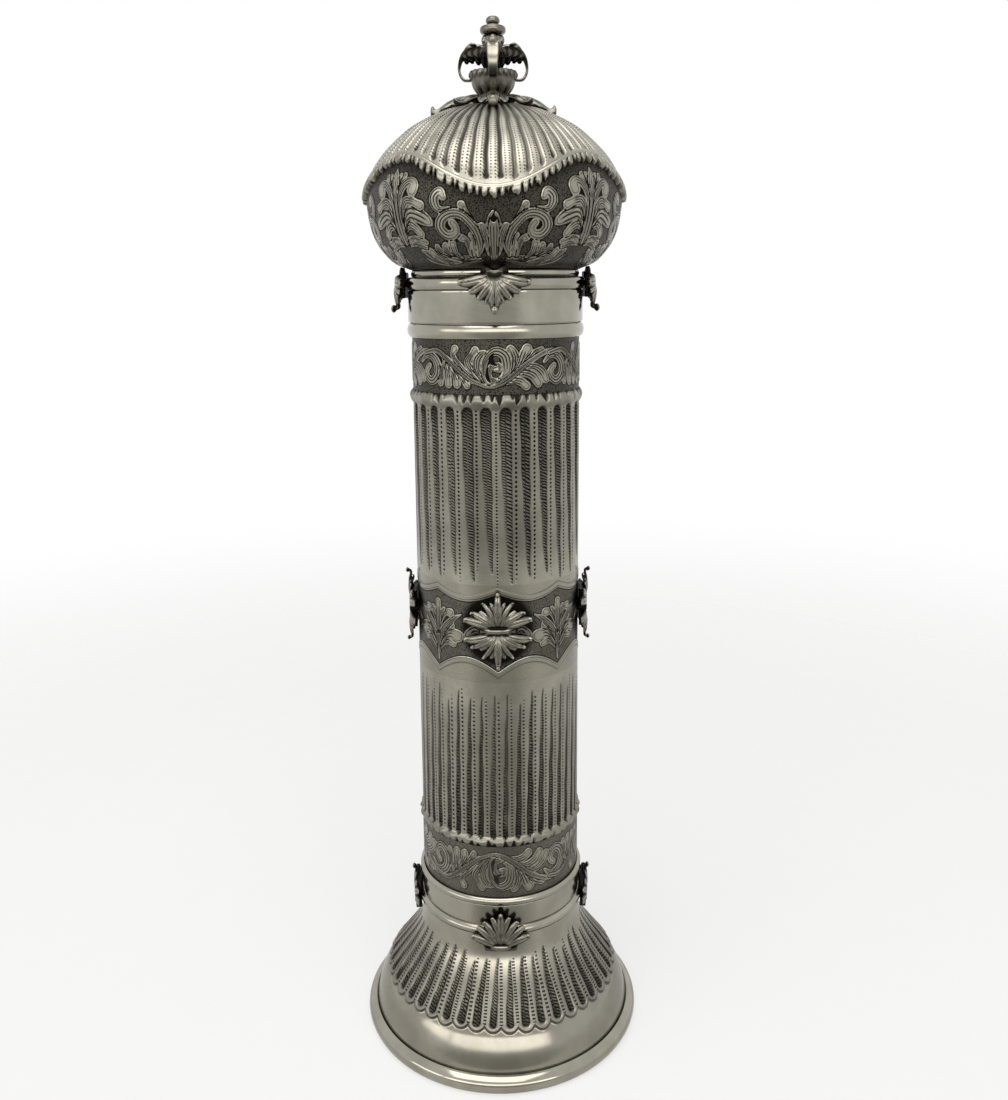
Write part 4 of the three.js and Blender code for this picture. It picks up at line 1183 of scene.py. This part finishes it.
# %% [markdown]
# ## The crimped lip over the seam
#
# The lip is a strip folded over the seam: smooth on top, and below it teeth pinched with pliers hang down, with
# gaps between them painted dark, partly oxide and partly painted shade. It is one closed strip whose height follows
# the wave.

# %% The lip
LIP_COLUMNS = 960
LIP_TEETH = 118
LIP_TOP = [(0.3, -0.5), (0.5, 0.2), (0.4, 0.7), (0.1, 1.15), (-0.3, 1.35), (-0.7, 1.4), (-1.1, 1.35)]


def lip():
    turns = turns_of(LIP_COLUMNS)
    seam = seam_run(turns)
    number, aside = in_turn(turns, LIP_TEETH)
    chance = np.random.default_rng(41)
    push = chance.uniform(-0.28, 0.28, LIP_TEETH)[number]
    tall = chance.uniform(0.6, 1.3, LIP_TEETH)[number]
    wide = chance.uniform(0.1, 0.26, LIP_TEETH)[number]
    lean = chance.uniform(-0.25, 0.25, LIP_TEETH)[number]
    x = aside - push
    drop = 1.3 + 1.9 * tall * (1 - ridge(x, 0.2))
    runs = [seam + place for place, _ in LIP_TOP]
    lifts = [np.full_like(seam, lift) for _, lift in LIP_TOP]
    darks = [np.full_like(seam, 0.0) for _ in LIP_TOP]
    for share in np.linspace(0.1, 1, 12):
        gap = ridge(x + lean * share, wide) * step_up(share, -0.2, 0.15)
        runs.append(seam - 1.1 - drop * share)
        tooth = 1.35 - 0.35 * share + 0.3 * math.sin(math.pi * share) - 1.3 * step_up(share, 0.85, 1.0)
        lifts.append(tooth - (0.75 + 0.4 * share) * gap)
        # The gaps between teeth are painted dark, partly oxide and partly painted shade, and each tooth darkens
        # towards its lower end.
        darks.append(np.clip(0.08 + 0.95 * gap + 0.25 * share, 0, 0.95))
    run, lift, dark = (np.vstack(tables)[::-1] for tables in (runs, lifts, darks))
    return bulb_sheet(run, lift, 0.6, {"patina_and_shade": dark})


piece = lip()
finish_piece(piece, "seam_lip", "lid", ["wavy_rim"], crimped)

# %% [markdown]
# ## Cast leaves
#
# The leaves were cast, not chased: small fans of lobes with rolled edges and curled tips. Each lobe is a curve with
# a leaf-shaped section swept along it, all the lobes are joined and remeshed into one skin, like wax worked
# together, and the finished leaf is bent round the case.

# %% Lobes as curves
LEAF_SECTION = [
    (-1, -0.1), (-0.8, 0.3), (-0.4, 0.5), (-0.12, 0.52), (0, 0.3), (0.12, 0.52), (0.4, 0.5), (0.8, 0.3),
    (1, -0.1), (0.7, -0.35), (-0.7, -0.35),
]
STRAP_SECTION = [
    (0.0, -1), (0.3, -0.85), (0.24, -0.3), (0.02, 0), (0.24, 0.3), (0.3, 0.85), (0.0, 1), (-0.24, 0.8),
    (-0.24, -0.8),
]
ROUND_SECTION = [(math.cos(turn), 0.6 * math.sin(turn)) for turn in np.linspace(0, FULL_TURN, 10, endpoint=False)]


def section_curve(shape):
    clear_bench()
    bpy.ops.curve.primitive_bezier_curve_add()
    curve = bpy.context.object
    curve.data.dimensions = "2D"
    curve.data.splines.clear()
    spline = curve.data.splines.new("POLY")
    spline.points.add(len(shape) - 1)
    for point, (x, y) in zip(spline.points, shape):
        point.co = (x * MM, y * MM, 0, 1)
    spline.use_cyclic_u = True
    return curve


def lobe_mesh(points, widths, section):
    clear_bench()
    bpy.ops.curve.primitive_bezier_curve_add()
    curve = bpy.context.object
    curve.data.splines.clear()
    line = smooth_line(np.column_stack([np.asarray(points, float), widths]), 6)
    spline = curve.data.splines.new("POLY")
    spline.points.add(len(line) - 1)
    for point, (x, y, z, width) in zip(spline.points, line):
        point.co = (x * MM, y * MM, z * MM, 1)
        point.radius = max(width, 0.05)
    curve.data.dimensions = "3D"
    curve.data.twist_mode = "Z_UP"
    curve.data.bevel_mode = "OBJECT"
    curve.data.bevel_object = section
    curve.data.use_fill_caps = True
    bpy.ops.object.convert(target="MESH")
    return bpy.context.object


def ball(x, y, z, radius, squash=(1, 1, 1)):
    clear_bench()
    bpy.ops.mesh.primitive_uv_sphere_add(segments=16, ring_count=10, radius=radius * MM)
    piece = bpy.context.object
    move_points(piece, points_of(piece) * squash + np.array((x, y, z)) * MM)
    return piece


def melt_together(parts, voxel, passes=3):
    clear_bench()
    for part in parts:
        part.select_set(True)
    bpy.context.view_layer.objects.active = parts[0]
    bpy.ops.object.join()
    piece = bpy.context.object
    remesh = piece.modifiers.new("skin", "REMESH")
    remesh.mode = "VOXEL"
    remesh.voxel_size = voxel * MM
    bpy.ops.object.modifier_apply(modifier=remesh.name)
    ease = piece.modifiers.new("ease", "SMOOTH")
    ease.factor = 0.5
    ease.iterations = passes
    bpy.ops.object.modifier_apply(modifier=ease.name)
    bpy.ops.object.shade_smooth()
    return piece


def lobe_line(angle, length, width, curl, belly):
    """A lobe from a root at the origin: its angle from straight up, length, half width and the curl of its tip. It
    bows outwards and lies a little lower than its neighbour towards the middle."""
    turn = math.radians(angle)
    side, up = math.sin(turn), math.cos(turn)
    bow = math.copysign(0.10 * length, angle) if angle else 0.0
    base = 1.0 - 0.008 * abs(angle)
    places = [(0.1, 0.05, 0.0, 0.0), (0.38, 0.38, 0.7, 1.0), (0.72, 0.72, 0.6, 0.95), (0.93, 0.93, 0.15, 0.7)]
    points = [
        (along * side * length - bow * up * off, rise * up * length + bow * side * off, base + belly * lift)
        for along, rise, off, lift in places
    ]
    points.append((side * length, up * length, base + belly * 0.6 + curl))
    return points, [width * 0.5, width, width * 1.05, width * 0.8, width * 0.5]


def fan(lobes, section, belly):
    parts = []
    for angle, length, width, curl in lobes:
        points, widths = lobe_line(angle, length, width, curl, belly)
        parts.append(lobe_mesh(points, widths, section))
        if not angle:
            parts.append(ball(0, length - 0.4, points[-1][2], 0.62 * width, (1, 1.3, 0.9)))
    return parts


def vein_lobes(piece, fans):
    """Says for each point how far across its lobe it lies, from -1 to 1, so that the finish can draw the veins."""
    x, y, z = (points_of(piece) / MM).T
    nearest, vein, share = np.full(len(x), 99.0), np.zeros(len(x)), np.zeros(len(x))
    for lobes, belly, (flip_x, flip_y) in fans:
        for lobe in lobes:
            points, widths = lobe_line(*lobe, belly)
            line = smooth_line(np.column_stack([np.asarray(points)[:, :2] * (flip_x, flip_y), widths]), 8)
            tangent = np.gradient(line[:, :2], axis=0)
            tangent /= np.linalg.norm(tangent, axis=1)[:, None]
            away = np.hypot(x[:, None] - line[:, 0], y[:, None] - line[:, 1]) / line[:, 2]
            place = away.argmin(1)
            side = tangent[place, 0] * (y - line[place, 1]) - tangent[place, 1] * (x - line[place, 0])
            closer = away.min(1) < nearest
            nearest = np.where(closer, away.min(1), nearest)
            vein = np.where(closer, side / line[place, 2], vein)
            share = np.where(closer, place / len(line), share)
    veined = step_up(share, 0.08, 0.25) * step_up(share, 0.95, 0.8) * step_up(nearest, 1.3, 0.9)
    for name, value in (("vein", np.clip(vein, -1, 1)), ("veined", veined)):
        piece.data.attributes.new(name, "FLOAT", "POINT").data.foreach_set("value", value)
    # It also gives painted shade: darker at the lobes' edges, in the gaps between them, and where the leaf lies low
    # against the wall.
    floor = step_up(z, 1.0 + 0.65 * belly, 1.0 + 0.25 * belly)
    return 0.5 * step_up(np.abs(vein), 0.8, 1.05) + 0.4 * floor


leaf_section = section_curve(LEAF_SECTION)
strap_section = section_curve(STRAP_SECTION)
round_section = section_curve(ROUND_SECTION)

# %% [markdown]
# The skin of a cast piece is darkened in its hollows too, partly for the oxide that stays there and partly as
# painted shade. A mesh has no rows and columns, so the hollows are found in another way: the skin is smoothed in a
# copy, and where the smoothed skin lies above the real one, there is a hollow. Faces that look down, or in towards
# the case, can get painted shade as well.

# %% Darken the hollows of a cast piece
SMOOTHING_PASSES = 26
HOLLOW_DEPTH = 0.12


def darken_hollows(piece, base=0.12, more=0.0, painted_shade=0.0, back=0.0):
    """base is everywhere and more is added point by point. The next amount is painted shade on what looks down, and
    back is painted shade on what looks in.
    """
    points = points_of(piece) / MM
    edges = np.empty(len(piece.data.edges) * 2, int)
    piece.data.edges.foreach_get("vertices", edges)
    a, b = edges.reshape(-1, 2).T
    count = np.bincount(np.concatenate([a, b]), minlength=len(points))[:, None]
    smoothed = points
    for _ in range(SMOOTHING_PASSES):
        total = np.column_stack([
            np.bincount(a, smoothed[b, axis], len(points)) + np.bincount(b, smoothed[a, axis], len(points))
            for axis in range(3)
        ])
        smoothed = 0.5 * smoothed + 0.5 * total / count
    normal = np.empty(len(points) * 3)
    piece.data.vertices.foreach_get("normal", normal)
    normal = normal.reshape(-1, 3)
    hollow = ((smoothed - points) * normal).sum(1)
    # Painted shade on faces that look down and on faces that look in towards the case.
    below = painted_shade * step_up(-normal[:, 2], -0.2, 0.45)
    outward = (normal * points)[:, :2].sum(1) / np.hypot(points[:, 0], points[:, 1])
    below = below + back * step_up(-outward, -0.5, 0.0)
    dark = np.clip(base + more + below + step_up(hollow, -0.04, HOLLOW_DEPTH), 0, 0.98)
    piece.data.attributes.new("patina_and_shade", "FLOAT", "POINT").data.foreach_set("value", dark)


def bend_round(piece, radius, height, flip=False):
    """x runs round the case, y up it and z away from it."""
    x, y, z = (points_of(piece) / MM).T
    if flip:
        x, y = -x, -y
    turn = x / radius
    r = radius + z
    move_points(piece, np.column_stack([r * np.sin(turn), -r * np.cos(turn), height + y]) * MM)


SIDES = ("front", "right", "back", "left")


def four_around(piece, name, body, node, finish):
    for number, side in enumerate(SIDES):
        clear_bench()
        if side != SIDES[-1]:
            piece.select_set(True)
            bpy.context.view_layer.objects.active = piece
            bpy.ops.object.duplicate()
            copy = bpy.context.object
        else:
            copy = piece
        copy.data.transform(Matrix.Rotation(number * math.pi / 2, 4, "Z"))
        finish_piece(copy, f"{name}_{side}", body, [f"{node}_{side}"], finish)


# %% [markdown]
# The leaf on the lid's neck hangs down, and the leaf on the foot stands up. Both are fans of nine lobes, and the
# neck's has two small ones more beside its root. Two small blocks behind the root reach the wall that the leaf is
# soldered to.

# %% Neck leaves and foot leaves
def block(width, height, depth, x=0.0, y=0.0, z=0.0):
    clear_bench()
    bpy.ops.mesh.primitive_cube_add(size=MM)
    piece = bpy.context.object
    move_points(piece, points_of(piece) * (width, height, depth) + np.array((x, y, z)) * MM)
    return piece


def both_sides(lobes):
    return lobes + [(-angle, *rest) for angle, *rest in lobes if angle]


def cast_leaf(parts, fans, radius, height, name, body, node, flip=False):
    leaf = melt_together(parts, LEAF_VOXEL)
    gaps = vein_lobes(leaf, fans)
    bend_round(leaf, radius, height, flip)
    # Painted shade between the lobes and on the leaf's back, which looks in towards the case.
    darken_hollows(leaf, more=gaps, back=0.75)
    four_around(leaf, name, body, node, cast)


LEAF_VOXEL = 0.3
NECK_BELLY, FOOT_BELLY, MIDDLE_BELLY = 2.2, 1.1, 1.6
AS_DRAWN, UPSIDE_DOWN = (1, 1), (-1, -0.95)

NECK_LOBES = both_sides([  # angle, length, half width, curl
    (0, 13.0, 1.9, 2.2), (15, 10.8, 1.5, 0.6), (31, 10.4, 1.6, 1.0), (52, 10.6, 1.75, 0.8), (75, 12.2, 2.1, 1.5),
])
parts = fan(NECK_LOBES, leaf_section, NECK_BELLY)
parts += fan(both_sides([(118, 4.6, 1.5, 0.9)]), leaf_section, 1.0)
parts.append(block(9.5, 2.2, 2.6, 0, 0.2, 0.5))
parts.append(block(13.0, 8.5, 1.6, 0, 4.4, 0.7))
fans = [(NECK_LOBES, NECK_BELLY, AS_DRAWN)]
cast_leaf(parts, fans, 34.2, 308.0, "neck_acanthus", "lid", "neck_leaf", flip=True)

# %% The foot's leaf
FOOT_LOBES = both_sides([
    (0, 15.0, 1.5, 1.0), (14, 13.8, 1.4, 0.3), (30, 13.0, 1.55, 0.7), (47, 12.4, 1.7, 0.4), (70, 11.8, 2.0, 1.1),
])
parts = fan(FOOT_LOBES, leaf_section, FOOT_BELLY)
parts.append(block(12.0, 1.9, 2.6, 0, -0.2, 0.9))
parts.append(block(13.0, 8.5, 1.6, 0, 4.2, 0.7))
fans = [(FOOT_LOBES, FOOT_BELLY, AS_DRAWN)]
cast_leaf(parts, fans, 33.9, 48.3, "foot_acanthus", "case", "foot_leaf")

# %% [markdown]
# The middle ornament is two fans root to root, the lower one turned upside down, with a small bar between them.

# %% The middle ornaments
MIDDLE_LOBES = both_sides([
    (0, 14.9, 1.3, 1.6), (13, 11.4, 0.95, 0.4), (26, 12.3, 1.0, 1.0), (39, 10.0, 1.0, 0.3), (54, 11.8, 1.4, 1.4),
    (72, 12.7, 1.8, 1.3),
])
parts = fan(MIDDLE_LOBES, leaf_section, MIDDLE_BELLY)
for part in fan(MIDDLE_LOBES, leaf_section, MIDDLE_BELLY):
    move_points(part, points_of(part) * (*UPSIDE_DOWN, 1))
    parts.append(part)
parts.append(block(12.0, 1.6, 3.6, 0, 0, 1.2))
parts.append(block(11.0, 15.0, 1.5, 0, 0, 0.6))
fans = [(MIDDLE_LOBES, MIDDLE_BELLY, AS_DRAWN), (MIDDLE_LOBES, MIDDLE_BELLY, UPSIDE_DOWN)]
cast_leaf(parts, fans, 32.6, ORNAMENT_HEIGHT, "middle_acanthus", "case", "middle_ornament")

# %% [markdown]
# ## The finial
#
# On top sits a small crown: a leaf rosette on the dome, a cup with a beaded rim, four bent leaf straps, a bud, a
# round ring and a button.

# %% The rosette on the dome
STUD_BORE = 1.5
FINIAL_BASE = 370.0  # upright curves are drawn flat, starting from this height


def at_turn(radius, turn):
    return radius * math.sin(turn), -radius * math.cos(turn)


def out_lobe(places, widths, turn, section):
    """A lobe given as side, radius and height, turned to its place round the axis."""
    part = lobe_mesh([(side, -radius, height) for side, radius, height in places], widths, section)
    part.data.transform(Matrix.Rotation(turn, 4, "Z"))
    return part


def petal(places, widths, turn):
    """An upright lobe: its curve is drawn flat, so that the section's broad side faces outwards."""
    line = [(height - FINIAL_BASE, side, radius) for side, radius, height in places]
    part = lobe_mesh(line, widths, leaf_section)
    up, side, out = (points_of(part) / MM).T
    move_points(part, np.column_stack([side, -out, up + FINIAL_BASE]) * MM)
    part.data.transform(Matrix.Rotation(turn, 4, "Z"))
    return part


LONG_LEAF = [
    ([(0, 3.5, 369.8), (0, 8.5, 370.9), (0, 12.5, 370.6), (0, 16.5, 369.0), (0, 19.8, 366.9), (0, 21.4, 366.5),
      (0, 22.3, 367.7)], [1.4, 2.0, 2.3, 2.2, 1.8, 1.8, 1.1]),
    ([(0, 19.6, 366.2), (0, 21.2, 365.6), (0, 21.9, 366.6)], [1.6, 1.9, 1.6]),
    ([(1.0, 8.0, 371.0), (2.8, 10.0, 370.4), (4.2, 12.4, 369.2), (4.8, 14.2, 367.9)], [1.0, 1.5, 1.5, 0.7]),
    ([(1.0, 12.0, 370.8), (2.8, 14.6, 369.2), (3.9, 17.0, 367.6), (4.3, 18.8, 366.7)], [1.0, 1.5, 1.4, 0.6]),
]
SHORT_LEAF = [
    ([(0, 3.5, 369.4), (0, 8.5, 370.4), (0, 12.5, 369.6), (0, 16.0, 367.9), (0, 18.4, 367.8), (0, 19.6, 369.0)],
     [1.4, 2.1, 2.4, 2.2, 1.6, 0.8]),
]
parts = [turn_piece(
    [(STUD_BORE, 367.2), (6.6, 367.2), (7.6, 369.4), (6.4, 371.0), (5.2, 371.4), (STUD_BORE, 371.4)], 48
)]
for number in range(8):
    turn = number * math.pi / 4
    for places, widths in SHORT_LEAF if number % 2 else LONG_LEAF:
        for hand in (1, -1) if places[0][0] else (1,):
            mirrored = [(hand * side, radius, height) for side, radius, height in places]
            parts.append(out_lobe(mirrored, widths, turn, leaf_section))
    if number % 2 == 0:
        squash = (1, 0.5, 1.25) if number % 4 == 0 else (0.5, 1, 1.25)
        parts.append(ball(*at_turn(22.4, turn), 366.6, 1.7, squash))
rosette = melt_together(parts, 0.36)
# The leaves' undersides get painted shade.
darken_hollows(rosette, painted_shade=0.65)
finish_piece(rosette, "rosette_leaves", "lid", ["rosette"], antique)

# %% The cup
cup_line = smooth_line([(5.4, 371.5), (5.5, 372.6), (6.9, 374.4), (7.9, 376.4), (8.4, 378.2), (8.6, 380.0)], 5)
parts = [turn_piece(
    [(STUD_BORE, 371.5), *map(tuple, cup_line), (8.2, 380.4), (7.4, 380.2), (6.8, 377.0), (STUD_BORE, 376.0)], 72
)]
for number in range(20):
    turn = number * FULL_TURN / 20
    parts.append(ball(*at_turn(8.05, turn), 379.2, 1.15, (0.9, 0.9, 1.2)))
for number in range(12):
    turn = number * FULL_TURN / 12
    places = [(0, 5.2, 372.3), (0, 5.9, 373.6), (0, 6.9, 375.4), (0, 7.7, 377.4)]
    parts.append(petal(places, [0.9, 1.3, 1.45, 1.0], turn))
cup = melt_together(parts, 0.28, 1)
darken_hollows(cup, base=0.4)
finish_piece(cup, "finial_cup_cast", "lid", ["finial_cup"], antique)

# %% The crown's arms
def strap(line, widths):
    """A strap in the front's plane, given as radius and height. The curve is drawn flat, then stood up."""
    part = lobe_mesh([(radius, height - FINIAL_BASE, 0.0) for radius, height in line], widths, strap_section)
    radius, height, side = (points_of(part) / MM).T
    move_points(part, np.column_stack([side, -radius, height + FINIAL_BASE]) * MM)
    return part


ARM_LINE = [
    (1.9, 388.7), (5.5, 388.9), (8.8, 388.0), (11.3, 385.4), (12.4, 382.0), (12.1, 379.4), (10.7, 377.6),
    (8.2, 377.4),
]
ARM_WIDTHS = [1.5, 2.6, 3.1, 2.7, 2.0, 1.7, 1.6, 1.5]
ARM_SIDES = [
    ([(1.2, 9.8, 386.8), (2.2, 10.0, 385.8), (2.7, 9.9, 384.6), (2.3, 9.6, 383.6)], [0.8, 1.1, 1.1, 0.6]),
    ([(1.2, 7.9, 388.0), (2.5, 8.2, 386.6), (3.2, 8.0, 385.0), (2.8, 7.5, 383.9)], [0.9, 1.3, 1.3, 0.7]),
    ([(1.2, 5.9, 388.6), (2.7, 6.1, 386.9), (3.6, 5.8, 384.9), (3.1, 5.2, 383.4)], [0.9, 1.35, 1.3, 0.7]),
    ([(1.2, 3.9, 388.6), (2.7, 3.9, 386.8), (3.3, 3.6, 384.5), (3.0, 3.1, 382.4)], [0.9, 1.35, 1.3, 0.7]),
    ([(0.8, 10.8, 386.0), (1.4, 9.6, 388.0), (2.3, 7.8, 389.4), (3.3, 6.4, 389.2)], [0.7, 0.95, 0.95, 0.5]),
]
parts = [strap(ARM_LINE, ARM_WIDTHS)]
for places, widths in ARM_SIDES:
    for hand in (1, -1):
        mirrored = [(hand * side, radius, height) for side, radius, height in places]
        parts.append(out_lobe(mirrored, widths, 0.0, round_section))
arm = melt_together(parts, 0.27, 1)
side, _, high = (points_of(arm) / MM).T
# The leafy mass below the strap's top is painted dark as shade, and so is what looks down.
shade = 0.85 * step_up(np.abs(side), 1.5, 2.2) * step_up(high, 389.0, 388.0)
darken_hollows(arm, base=0.03, more=shade, painted_shade=0.8)
four_around(arm, "crown_arm_cast", "lid", "crown_arm", cast)

# %% Bud, knob ring and button
parts = [turn_piece(
    [(STUD_BORE, 389.5), (2.3, 389.5), (3.0, 390.8), (2.9, 392.4), (2.2, 393.2), (STUD_BORE, 393.2)], 48
)]
for number in range(4):
    turn = number * math.pi / 2
    parts.append(ball(*at_turn(2.8, turn), 391.2, 1.45, (1, 1, 1.4)))
bud = melt_together(parts, 0.25, 1)
darken_hollows(bud, base=0.15)
finish_piece(bud, "finial_bud_cast", "lid", ["finial_bud"], antique)

ring_line = smooth_line([(2.6, 393.2), (4.2, 393.5), (4.7, 394.6), (4.3, 395.8), (2.8, 396.2)], 5)
knob = turn_piece([(STUD_BORE, 393.2), *map(tuple, ring_line), (STUD_BORE, 396.2)], 72)
finish_piece(knob, "finial_knob_turned", "lid", ["finial_knob_ring"], dim)
button_line = smooth_line([(1.9, 396.2), (1.8, 396.7), (2.4, 397.2), (2.5, 398.2), (1.8, 399.2), (0.7, 399.5)], 5)
button = turn_piece(
    [(0.0, 396.9), (STUD_BORE, 396.9), (STUD_BORE, 396.2), *map(tuple, button_line), (0.0, 399.5)], 72
)
finish_piece(button, "finial_button_turned", "lid", ["finial_button"], dim)

# %% [markdown]
# The three section curves were tools, not pieces, so they leave the bench.

# %% Put the tools away
for tool in (leaf_section, strap_section, round_section):
    bpy.data.objects.remove(tool)
print("tools put away")

# %% [markdown]
# ## Inner pieces
#
# The floor plates, the stud and its nut keep the frame's own solids and only get a finish.

# %% Finish the frame's own pieces
plain_steel = bpy.data.materials.new("plain_steel")
plain_steel.use_nodes = True
tree = plain_steel.node_tree
clouds = use_group(tree, clouding, {"Patch Size": 3.0})
shader = tree.nodes["Principled BSDF"]
shader.inputs["Metallic"].default_value = 1.0
tree.links.new(
    blend_colours(tree, clouds["Cloud"], (0.42, 0.42, 0.43, 1.0), (0.3, 0.3, 0.31, 1.0)), shader.inputs["Base Color"]
)
tree.links.new(blend_numbers(tree, clouds["Wipe"], 0.25, 0.5), shader.inputs["Roughness"])
for node in ("base_plate", "tube_floor", "finial_stud", "finial_washer", "finial_nut"):
    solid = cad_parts[node]
    solid.data.materials.clear()
    solid.data.materials.append(polished if node in ("base_plate", "tube_floor") else plain_steel)
print("frame pieces kept:", [name for name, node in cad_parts.items() if not node.hide_render])

# %% [markdown]
# ## The photo table
#
# A pale table top fades into a white room. A wide window lamp stands in front, a smaller one at the left, and a soft
# lamp hangs overhead. Metal shows what is round it, so the white room is what the polished rings reflect: the world
# is white for the camera and for mirror rays, and dimmer for the light that falls on the case and the table.

# %% Floor
clear_bench()
bpy.ops.mesh.primitive_plane_add(size=6.0)
floor = bpy.context.object
floor.name = "table_top"


def radial_fade(tree, low, high):
    """1 near the case and 0 far from it, on the floor's own coordinates."""
    place = put(tree, "ShaderNodeTexCoord").outputs["Object"]
    away = put(tree, "ShaderNodeVectorMath", {0: place}, operation="LENGTH").outputs["Value"]
    return between(tree, away, high, low)


pale = bpy.data.materials.new("pale_table")
pale.use_nodes = True
tree = pale.node_tree
grain = put(tree, "ShaderNodeTexNoise", {"Vector": put(tree, "ShaderNodeTexCoord").outputs["Object"], "Scale": 60.0})
shader = tree.nodes["Principled BSDF"]
tree.links.new(
    blend_colours(tree, grain.outputs["Fac"], (0.9, 0.9, 0.9, 1), (0.93, 0.93, 0.93, 1)), shader.inputs["Base Color"]
)
rays = put(tree, "ShaderNodeLightPath").outputs
seen = minus(tree, 1.0, times(tree, rays["Is Camera Ray"], 0.62))
tree.links.new(times(tree, radial_fade(tree, 0.35, 1.0), seen), shader.inputs["Alpha"])
shader.inputs["Roughness"].default_value = 0.7
floor.data.materials.append(pale)

# %% World and lamps
world = bpy.data.worlds.new("studio")
bpy.context.scene.world = world
world.use_nodes = True
tree = world.node_tree
rays = put(tree, "ShaderNodeLightPath").outputs
seen = maths(tree, "MAXIMUM", rays["Is Camera Ray"], rays["Is Glossy Ray"])
seen = maths(tree, "MAXIMUM", seen, rays["Is Transmission Ray"])
back = tree.nodes["Background"]
back.inputs["Color"].default_value = (1, 1, 1, 1)
tree.links.new(blend_numbers(tree, seen, 0.4, 1.0), back.inputs["Strength"])


def soft_lamp(name, place, target, width, height, radiance, colour):
    clear_bench()
    bpy.ops.object.light_add(type="AREA", location=place)
    lamp = bpy.context.object
    lamp.name = name
    lamp.data.shape = "RECTANGLE"
    lamp.data.size, lamp.data.size_y = width, height
    lamp.data.energy = radiance * math.pi * width * height
    lamp.data.color = colour
    lamp.rotation_euler = (Vector(target) - Vector(place)).to_track_quat("-Z", "Y").to_euler()
    print(f"{name}: {width} by {height} m at {place}")


DAYLIGHT = (1.0, 0.98, 0.93)
soft_lamp("window_lamp", (-0.1, -3.0, 1.1), (-0.1, 0, 1.1), 5.4, 1.3, 2.3, DAYLIGHT)
soft_lamp("left_window", (-2.9, -1.75, 1.0), (0, 0, 1.0), 1.6, 1.1, 2.2, DAYLIGHT)
soft_lamp("ceiling_lamp", (-0.1, -0.45, 1.35), (0, 0, 0.3), 1.1, 1.0, 2.6, (1.0, 0.98, 0.94))

# %% [markdown]
# A white studio alone makes silver look like paper. Photographers put grey cards round it, just outside the
# picture, so that it has something darker to reflect. One card lies on the table in front and one stands far behind
# the camera. Only mirror rays see them, and they fade out towards the sides, so that no hard edge shows.

# %% Grey cards
def front_card(name, corners, paint):
    """A flat card between two corners. Its origin is on the case's axis, so its fading can follow the direction."""
    clear_bench()
    bpy.ops.mesh.primitive_plane_add(size=1.0)
    card = bpy.context.object
    card.name = name
    (x0, y0, z0), (x1, y1, z1) = corners
    share = points_of(card)[:, :2] + 0.5
    upright = np.where(z1 > z0, share[:, 1], 0)
    depth = np.where(z1 > z0, 0, share[:, 1])
    places = [x0 + (x1 - x0) * share[:, 0], y0 + (y1 - y0) * depth, z0 + (z1 - z0) * upright]
    move_points(card, np.column_stack(places))
    card.data.materials.append(paint)
    card.visible_camera = card.visible_diffuse = card.visible_shadow = card.visible_transmission = False


def card_paint(name, cover):
    paint = bpy.data.materials.new(name)
    paint.use_nodes = True
    tree = paint.node_tree
    shader = tree.nodes["Principled BSDF"]
    shader.inputs["Base Color"].default_value = (0.46, 0.46, 0.45, 1)
    shader.inputs["Roughness"].default_value = 0.9
    place = put(tree, "ShaderNodeSeparateXYZ", {0: put(tree, "ShaderNodeTexCoord").outputs["Object"]}).outputs
    azimuth = maths(tree, "ARCTAN2", maths(tree, "ABSOLUTE", place[0]), maths(tree, "ABSOLUTE", place[1]))
    fade = between(tree, azimuth, math.radians(50), math.radians(20))
    tree.links.new(times(tree, fade, cover), shader.inputs["Alpha"])
    return paint


front_card("front_mat", ((-3.0, -2.95, 0.0004), (3.0, -0.075, 0.0004)), card_paint("mat_paint", 1.0))
front_card("front_screen", ((-3.0, -2.95, 0.0), (3.0, -2.95, 0.42)), card_paint("screen_paint", 0.5))

# %% [markdown]
# The camera stands where the photographer held theirs: about forty centimetres away, a little above the middle,
# looking down by eleven degrees. The numbers were fitted to the photograph's outlines. Its line of sight isn't in the
# middle of the picture, as in a cropped photograph, so the lens is shifted to match.

# %% Camera
CAMERA_PLACE = (0.002707, -0.39685, 0.30264)
LOOKS_DOWN = 10.892  # degrees
ROLL = -0.4718  # degrees
SENSOR_WIDTH = 36.0
PICTURE_HEIGHT = 1100  # pixels
FOCAL_LENGTH = 1026.268  # pixels
SIGHT_ROW = 486.078  # pixels from the picture's top

bpy.ops.object.camera_add(location=CAMERA_PLACE)
camera = bpy.context.object
camera.name = "camera"
tilt = Matrix.Rotation(math.radians(90 - LOOKS_DOWN), 4, "X")
roll = Matrix.Rotation(math.radians(ROLL), 4, "Z")
camera.rotation_euler = (tilt @ roll).to_euler()
camera.data.sensor_fit = "AUTO"
camera.data.sensor_width = SENSOR_WIDTH
camera.data.lens = FOCAL_LENGTH / PICTURE_HEIGHT * SENSOR_WIDTH
camera.data.shift_x = 0.0
camera.data.shift_y = -(PICTURE_HEIGHT / 2 - SIGHT_ROW) / PICTURE_HEIGHT
camera.data.clip_start = 0.01
bpy.context.scene.camera = camera
bpy.context.scene.view_settings.view_transform = "Standard"
print("camera lens", round(camera.data.lens, 3), "shift", round(camera.data.shift_y, 4))
